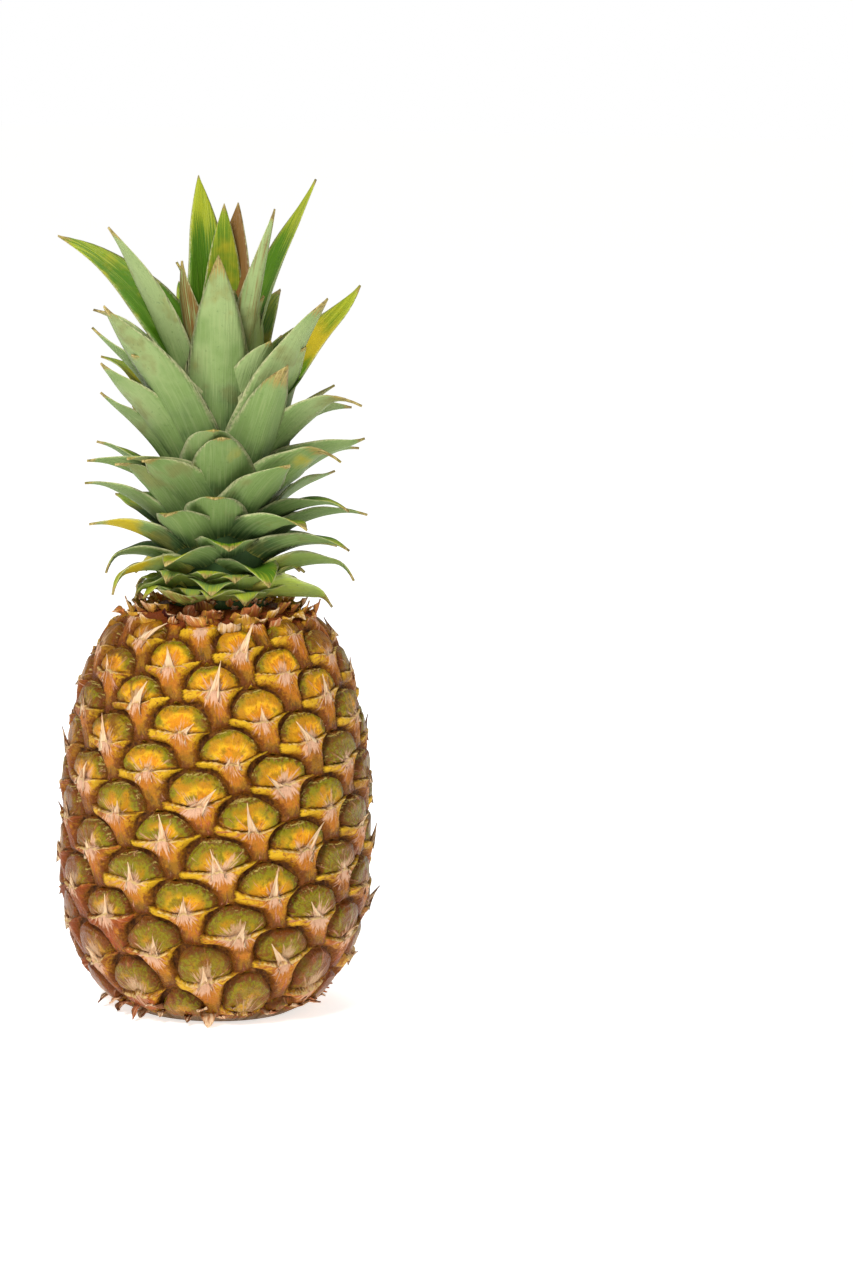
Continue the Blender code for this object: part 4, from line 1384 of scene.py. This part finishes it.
@dataclass
class Crown:
    """The leafy shoot: a short tapered stem and its leaves up the golden spiral.

    The tables give reach and height of the tips and width of the leaves in millimetres, and the lean of their
    first stretch in degrees from upright, each against the share up the spiral.
    """

    leaves: int = 88
    first_azimuth: float = math.radians(327.0)
    stem: Table = ((161.9, 20.0), (185.0, 19.5), (207.0, 16.5), (231.0, 10.0), (245.0, 2.0))
    roots: tuple[float, float] = (163.2, 236.0)
    reaches: Table = ((0.0, 40.0), (0.2, 53.0), (0.75, 53.0), (1.0, 19.0))
    tips: Table = ((0.0, 167.0), (0.25, 202.0), (0.5, 242.0), (0.7, 275.0), (1.0, 305.0))
    widths: Table = ((0.0, 25.0), (0.5, 29.5), (0.85, 29.5), (1.0, 22.5))
    leans: Table = ((0.0, 92.0), (0.05, 66.0), (0.1, 43.0), (0.25, 35.0), (0.5, 24.0), (0.75, 14.0),
                    (1.0, 6.0))
    middle_thickness: tuple[float, float] = (2.2, 0.7)
    edge_thickness: float = 0.3
    base_leaves: int = 24
    stations: int = 27
    columns: int = 9
    seed: int = 23

    def table(self, pairs: Table, share: Array) -> Array:
        """Read a table at a share of the way up the spiral."""
        shares, values = zip(*pairs)
        return np.interp(share, shares, values)

    def stem_radius(self, height: Array) -> Array:
        """Radius of the stem at a height."""
        return self.table(self.stem, height)

    def rows(self) -> dict[str, Array]:
        """Root, tip, width and traits of every leaf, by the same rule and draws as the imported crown.

        Returns:
            A table with one value a leaf under each name.
        """
        draw = random.Random(self.seed)
        traits = random.Random(self.seed + 1)
        rows: dict[str, list[float]] = {}
        for number in range(self.leaves):
            share = number / (self.leaves - 1)
            azimuth = self.first_azimuth + number * GOLDEN_TURN
            reach = float(self.table(self.reaches, share)) + draw.uniform(-5.0, 5.0)
            tip = float(self.table(self.tips, share)) + draw.uniform(-5.0, 5.0)
            tip_azimuth = azimuth + math.radians(draw.uniform(-8.0, 8.0))
            leaf = SeenLeaf(0.0, reach, tip, traits.uniform(-4.0, 1.0), traits.uniform(0.03, 0.1),
                            max(0.0, traits.uniform(-0.8, 0.6)), max(0.0, traits.uniform(-1.6, 0.5)), 1.0,
                            traits.uniform(-20.0, 30.0))
            if number in SEEN_LEAVES:
                leaf = SEEN_LEAVES[number]
                tip_azimuth = math.radians(leaf.azimuth)
                azimuth = tip_azimuth + 0.5 * math.remainder(azimuth - tip_azimuth, TAU)
            row = {
                "share": share, "azimuth": azimuth, "tip_azimuth": tip_azimuth,
                "reach": leaf.reach, "tip": leaf.height,
                "root": self.roots[0] + (self.roots[1] - self.roots[0]) * share,
                "width": leaf.slim * float(self.table(self.widths, share)),
                "lean": float(self.table(self.leans, share)), "hook": leaf.hook,
                "dry": leaf.dry, "gold": leaf.gold, "bronze": leaf.bronze, "fold": leaf.fold,
                "twist": -math.sin(tip_azimuth) * (leaf.face + traits.uniform(-12.0, 12.0)),
                "chance": traits.random(), "phase": traits.uniform(0.0, TAU),
            }
            for key, value in row.items():
                rows.setdefault(key, []).append(value)
        for number in range(self.base_leaves):
            tier = number % 2
            azimuth = TAU * number / self.base_leaves + traits.uniform(-0.1, 0.1)
            row = {
                "share": 0.0, "azimuth": azimuth, "tip_azimuth": azimuth + traits.uniform(-0.2, 0.2),
                "reach": traits.uniform(30.0, 35.0), "tip": traits.uniform(168.0, 172.0) + 7.0 * tier,
                "root": traits.uniform(162.0, 163.5) + 3.0 * tier, "width": traits.uniform(22.0, 27.0),
                "lean": 52.0 - 16.0 * tier, "twist": 0.0,
                "hook": traits.uniform(-6.0, -3.0), "dry": traits.uniform(0.04, 0.12),
                "gold": traits.uniform(0.0, 0.5), "bronze": 0.0, "fold": 0.35,
                "chance": traits.random(), "phase": traits.uniform(0.0, TAU),
            }
            for key, value in row.items():
                rows[key].append(value)
        return {key: np.array(values) for key, values in rows.items()}

    def build_leaves(self, material: bpy.types.Material) -> bpy.types.Object:
        """Make all leaves as one piece.

        The midrib is a square Bezier curve from the stem through a point on its first direction to the tip,
        and its last fifth hooks by a square law. The sides rise from the midrib like a rounded channel that
        opens towards the tip, with a slow wave along each edge.

        Args:
            material: finish of the piece.

        Returns:
            The piece.
        """
        row = self.rows()
        lean = np.radians(row["lean"])
        middle_azimuth = 0.5 * (row["azimuth"] + row["tip_azimuth"])
        root_radius = 0.8 * self.stem_radius(row["root"])
        start = outward(row["azimuth"]) * root_radius[:, None] + UP * row["root"][:, None]
        end = outward(row["tip_azimuth"]) * row["reach"][:, None] + UP * row["tip"][:, None]
        leaving = outward(middle_azimuth) * np.sin(lean)[:, None] + UP * np.cos(lean)[:, None]
        bend = start + leaving * (0.52 * np.linalg.norm(end - start, axis=1))[:, None]
        t = np.linspace(0.0, 1.0, self.stations)[None, :, None]
        path = start[:, None] * (1 - t) ** 2 + bend[:, None] * 2 * t * (1 - t) + end[:, None] * t ** 2
        tangent = unit((bend - start)[:, None] * (1 - t) + (end - bend)[:, None] * t)
        side = np.broadcast_to(sideways(middle_azimuth)[:, None], path.shape)
        inner = unit(np.cross(tangent, side))
        twist = np.radians(row["twist"])[:, None, None] * ease(t, 0.05, 0.5)
        side = side * np.cos(twist) + inner * np.sin(twist)
        path = path + inner * clamp((t - 0.8) / 0.2) ** 2 * row["hook"][:, None, None]
        along = t[:, :, 0]
        swell = 0.6 + 0.4 * np.sin(0.5 * math.pi * clamp(along / 0.35))
        half_width = 0.5 * row["width"][:, None] * swell * (1.0 - along ** 2.5) ** 0.95
        half_width = half_width * (1.0 + 0.012 * np.sin(along * 21.0 + row["phase"][:, None])) + 0.12
        across = np.linspace(-1.0, 1.0, self.columns)
        channel = half_width * (0.62 - 0.34 * along) * row["fold"][:, None]
        wave = 0.4 * np.sin(along[..., None] * 13.0 + row["phase"][:, None, None] + 2.0 * np.sign(across))
        wave = wave * across ** 2 * ease(along, 0.1, 0.4)[..., None] * clamp(half_width / 6.0)[..., None]
        rise = channel[..., None] * np.abs(across) ** 1.6 + wave
        middle = self.middle_thickness[0] + (self.middle_thickness[1] - self.middle_thickness[0]) * along
        thickness = middle[..., None] * (1.0 - across ** 2) + self.edge_thickness + np.zeros_like(rise)
        batch = BladeBatch(path, side, half_width, rise, thickness, row["chance"], (0.55, 14.0))
        both, outer, inside = self.marks(row, along[..., None])
        return batch.piece("crown_leaves", material, both, outer, inside)

    def marks(self, row: dict[str, Array], along: Array) -> tuple[dict[str, Array], ...]:
        """Marks of the leaves for both faces, the outer one and the inner one.

        The bloom grows with the height of the leaf and towards its tip, painted shade gathers on both faces
        where leaves overlap near the stem, and fresh yellow-green marks the lowest leaves and the bases.

        Args:
            row: traits of the leaves.
            along: shares of their length, shape (1, stations, 1).

        Returns:
            Three tables of marks.
        """
        across = np.linspace(-1.0, 1.0, self.columns)
        ring = np.abs(np.concatenate((across, across[-2:0:-1])))[None, None, :]
        share, chance, dried, gold, bronze = (row[name][:, None, None] for name in
                                              ("share", "chance", "dry", "gold", "bronze"))
        low = ease(share, 0.2, 0.02)
        edge = ease(ring, 0.8, 1.0)
        dry = ease(along, 1.0 - dried * 1.3, 1.0 - dried * 0.4) + 0.25 * edge * ease(along, 0.6, 0.95)
        both = {
            "dry": dry,
            "gold": gold * hump(along, 0.7, 0.2) + 0.15 * low * chance,
            "bronze": bronze * ease(along, 0.25, 0.6),
            "rim": edge * (0.5 + 0.4 * ease(along, 0.0, 0.4)),
            "base": ease(along, 0.26 + 0.2 * low, 0.02),
        }
        outer = {
            "bloom": (0.15 + 0.75 * ease(share, 0.25, 0.75)) * (0.35 + 0.65 * ease(along, 0.15, 0.75))
            * (0.8 + 0.4 * chance) * (1.0 - 0.25 * edge),
            "shade": (0.98 - 0.5 * share) * ease(along, 0.7, 0.15) * (1.0 - 0.5 * low),
            "fresh": 0.75 * low + 0.35 * ease(along, 0.4, 0.1),
            "streak": 0.5 + np.zeros_like(chance),
        }
        inner = {
            "inner": 1.0 - 0.65 * low,
            # painted shade towards the base of the inner face
            "inner_painted_shade": (ease(along, 0.75, 0.15) * (1.0 - 0.35 * low)
                           * (0.9 - 0.5 * edge * ease(along, 0.3, 0.7))),
            "inner_tip": ease(along, 0.55, 0.95) * (0.45 + 0.5 * chance) + 0.35 * edge,
            "inner_vein": 0.45 + np.zeros_like(chance),
        }
        return both, outer, inner

    def build_stem(self, material: bpy.types.Material) -> bpy.types.Object:
        """Turn the stem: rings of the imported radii, slightly ribbed, closed by a point at either end.

        Args:
            material: finish of the piece.

        Returns:
            The piece.
        """
        sides = 48
        heights = np.linspace(self.stem[0][0], self.stem[-1][0], 40)
        azimuth = np.linspace(0.0, TAU, sides, endpoint=False)
        radius = self.stem_radius(heights)[:, None] * (0.985 + 0.012 * np.cos(azimuth * 13.0))
        grid = outward(azimuth)[None] * radius[..., None] + UP * heights[:, None, None]
        points = np.concatenate((grid.reshape(-1, 3), (UP * heights[0])[None], (UP * heights[-1])[None]))
        piece = new_piece("crown_stem", points, turned_faces(len(heights), sides), material)
        mark_piece(piece, "shade", np.full(len(points), 1.1))
        mark_piece(piece, "fibre", points * np.array((1.5, 1.5, 0.1)))
        return piece


@dataclass
class StalkEnd:
    """The cut end of the stalk that the fruit grew on, in the hole of the foot."""

    radius: float = 9.5
    height: float = 5.7
    sides: int = 64

    def build(self, material: bpy.types.Material) -> bpy.types.Object:
        """Rings from the middle of the cut out, up the side and back over the hidden top.

        Args:
            material: finish of the piece.

        Returns:
            The piece.
        """
        rings = [(share * self.radius, 0.0) for share in (0.25, 0.5, 0.75, 0.92, 1.0)]
        rings += [(self.radius, self.height), (self.radius * 0.5, self.height)]
        azimuth = np.linspace(0.0, TAU, self.sides, endpoint=False)
        ragged = 1.0 + 0.012 * np.sin(azimuth * 11.0) - 0.012
        grid = [outward(azimuth) * (radius * ragged)[:, None] + UP * height for radius, height in rings]
        points = np.concatenate([*grid, np.zeros((1, 3)), (UP * self.height)[None]])
        piece = new_piece("stalk_end", points, turned_faces(len(rings), self.sides), material)
        mark_piece(piece, "reach", np.hypot(points[:, 0], points[:, 1]) / self.radius)
        mark_piece(piece, "plain", np.full(len(points), 0.5))
        return piece


@dataclass
class Studio:
    """White paper floor, even white surroundings, soft lamps and the camera at the photograph's angle."""

    floor_radius: float = 30_000.0
    surroundings: str = "#FFFFFF"
    light_strength: float = 0.36

    def build_floor(self, material: bpy.types.Material) -> bpy.types.Object:
        """A wide disc of rings round one middle point.

        Args:
            material: paper of the floor.

        Returns:
            The floor.
        """
        sides = 48
        radii = np.array((150.0, 600.0, 2500.0, self.floor_radius))
        azimuth = np.linspace(0.0, TAU, sides, endpoint=False)
        grid = outward(azimuth)[None] * radii[:, None, None]
        points = np.concatenate((grid.reshape(-1, 3), np.zeros((1, 3))))
        column = np.arange(sides)
        after = (column + 1) % sides
        first = np.arange(len(radii) - 1)[:, None] * sides
        rings = np.stack((first + column, first + sides + column, first + sides + after, first + after),
                         axis=-1)
        middle = np.stack((column, after, np.full(sides, len(points) - 1)), axis=-1)
        floor = new_piece("paper_floor", points, [rings.reshape(-1, 4), middle], material)
        return floor

    def build_lamp(self, name: str, place: tuple[float, float, float], size: float, power: float) -> None:
        """A square area lamp that faces the middle of the pineapple.

        Args:
            name: name of the lamp.
            place: where it stands, in metres.
            size: side of its square, in metres.
            power: watts.
        """
        lamp = bpy.data.lights.new(name, "AREA")
        lamp.size = size
        lamp.energy = power
        thing = bpy.data.objects.new(name, lamp)
        thing.location = place
        aim = np.array((0.0, 0.0, 0.15)) - np.array(place)
        pitch = math.atan2(math.hypot(aim[0], aim[1]), -aim[2])
        thing.rotation_euler = (pitch, 0.0, math.atan2(-aim[0], aim[1]))
        bpy.context.scene.collection.objects.link(thing)

    def build_surroundings(self) -> None:
        """White all round: full for the camera, dimmer as light, so that the lamps shape the fruit."""
        world = bpy.data.worlds.new("studio_white")
        world.use_nodes = True
        tree = world.node_tree
        background = tree.nodes["Background"]
        background.inputs["Color"].default_value = linear(self.surroundings)
        path = tree.nodes.new("ShaderNodeLightPath")
        strength = tree.nodes.new("ShaderNodeMapRange")
        strength.inputs["To Min"].default_value = self.light_strength
        strength.inputs["To Max"].default_value = 1.0
        tree.links.new(path.outputs["Is Camera Ray"], strength.inputs["Value"])
        tree.links.new(strength.outputs["Result"], background.inputs["Strength"])
        bpy.context.scene.world = world

    def build(self) -> None:
        """Set up the floor, the light and the camera."""
        self.build_floor(StudioPaper().build())
        self.build_surroundings()
        # A plain sRGB curve, so that the finishes show in their own colours
        bpy.context.scene.view_settings.view_transform = "Standard"
        self.build_lamp("key_lamp", (-0.6, -1.3, 1.5), 0.5, 32.5)
        self.build_lamp("fill_lamp", (1.3, -0.9, 0.9), 1.0, 2.5)
        self.build_lamp("top_lamp", (0.2, 0.5, 1.6), 0.8, 6.0)
        camera = bpy.data.cameras.new("photo_camera")
        camera.sensor_width = SENSOR_MM
        camera.lens = SENSOR_MM * FOCAL_PIXELS / PHOTO_HEIGHT
        camera.clip_end = 100.0
        holder = bpy.data.objects.new("photo_camera", camera)
        holder.location = CAMERA_PLACE
        holder.rotation_euler = tuple(math.radians(turn) for turn in CAMERA_TURN)
        bpy.context.scene.collection.objects.link(holder)
        bpy.context.scene.camera = holder


def main() -> None:
    """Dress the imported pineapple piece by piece."""
    logging.basicConfig(level=logging.INFO, format="%(name)s: %(message)s")
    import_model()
    Studio().build()

    rind, paper, leaf = WaxyRind().build(), DryPaper().build(), WaxyLeaf().build()
    lattice = EyeLattice()
    traits = EyeTraits(first=-100, last=80)
    place_piece(FruitSkin(lattice, traits).build(rind), Slot.RIND, "fruit")
    place_piece(Spines(lattice).build(paper), Slot.RIND, "fruit")
    collar = DryBracts("collar_bracts", lattice, 110, heights=(155.5, 164.0), lengths=(4.5, 8.0),
                       tilts=(30.0, 64.0), half_width=4.6, sink=(1.8, 1.8), dark=(0.0, 0.25),
                       gold=(0.5, 1.6), pink=(0.1, 0.8), hollow_chance=0.06, seed=11)
    foot_tips = DryBracts("foot_bracts", lattice, 58, heights=(1.5, 8.0), lengths=(4.0, 8.0),
                          tilts=(-35.0, 15.0), half_width=3.2, sink=(2.2, 0.0), dark=(0.2, 0.8),
                          gold=(0.0, 0.4), pink=(0.3, 0.9), hollow_chance=0.0, seed=12)
    for bracts in (collar, foot_tips):
        place_piece(bracts.build(paper), Slot.RIND, "fruit")
    crown = Crown()
    place_piece(crown.build_stem(leaf), Slot.LEAF, "crown")
    place_piece(crown.build_leaves(leaf), Slot.LEAF, "crown")
    place_piece(StalkEnd().build(CutStalk().build()), Slot.STALK, "stalk_stub")


if __name__ == "__main__":
    main()
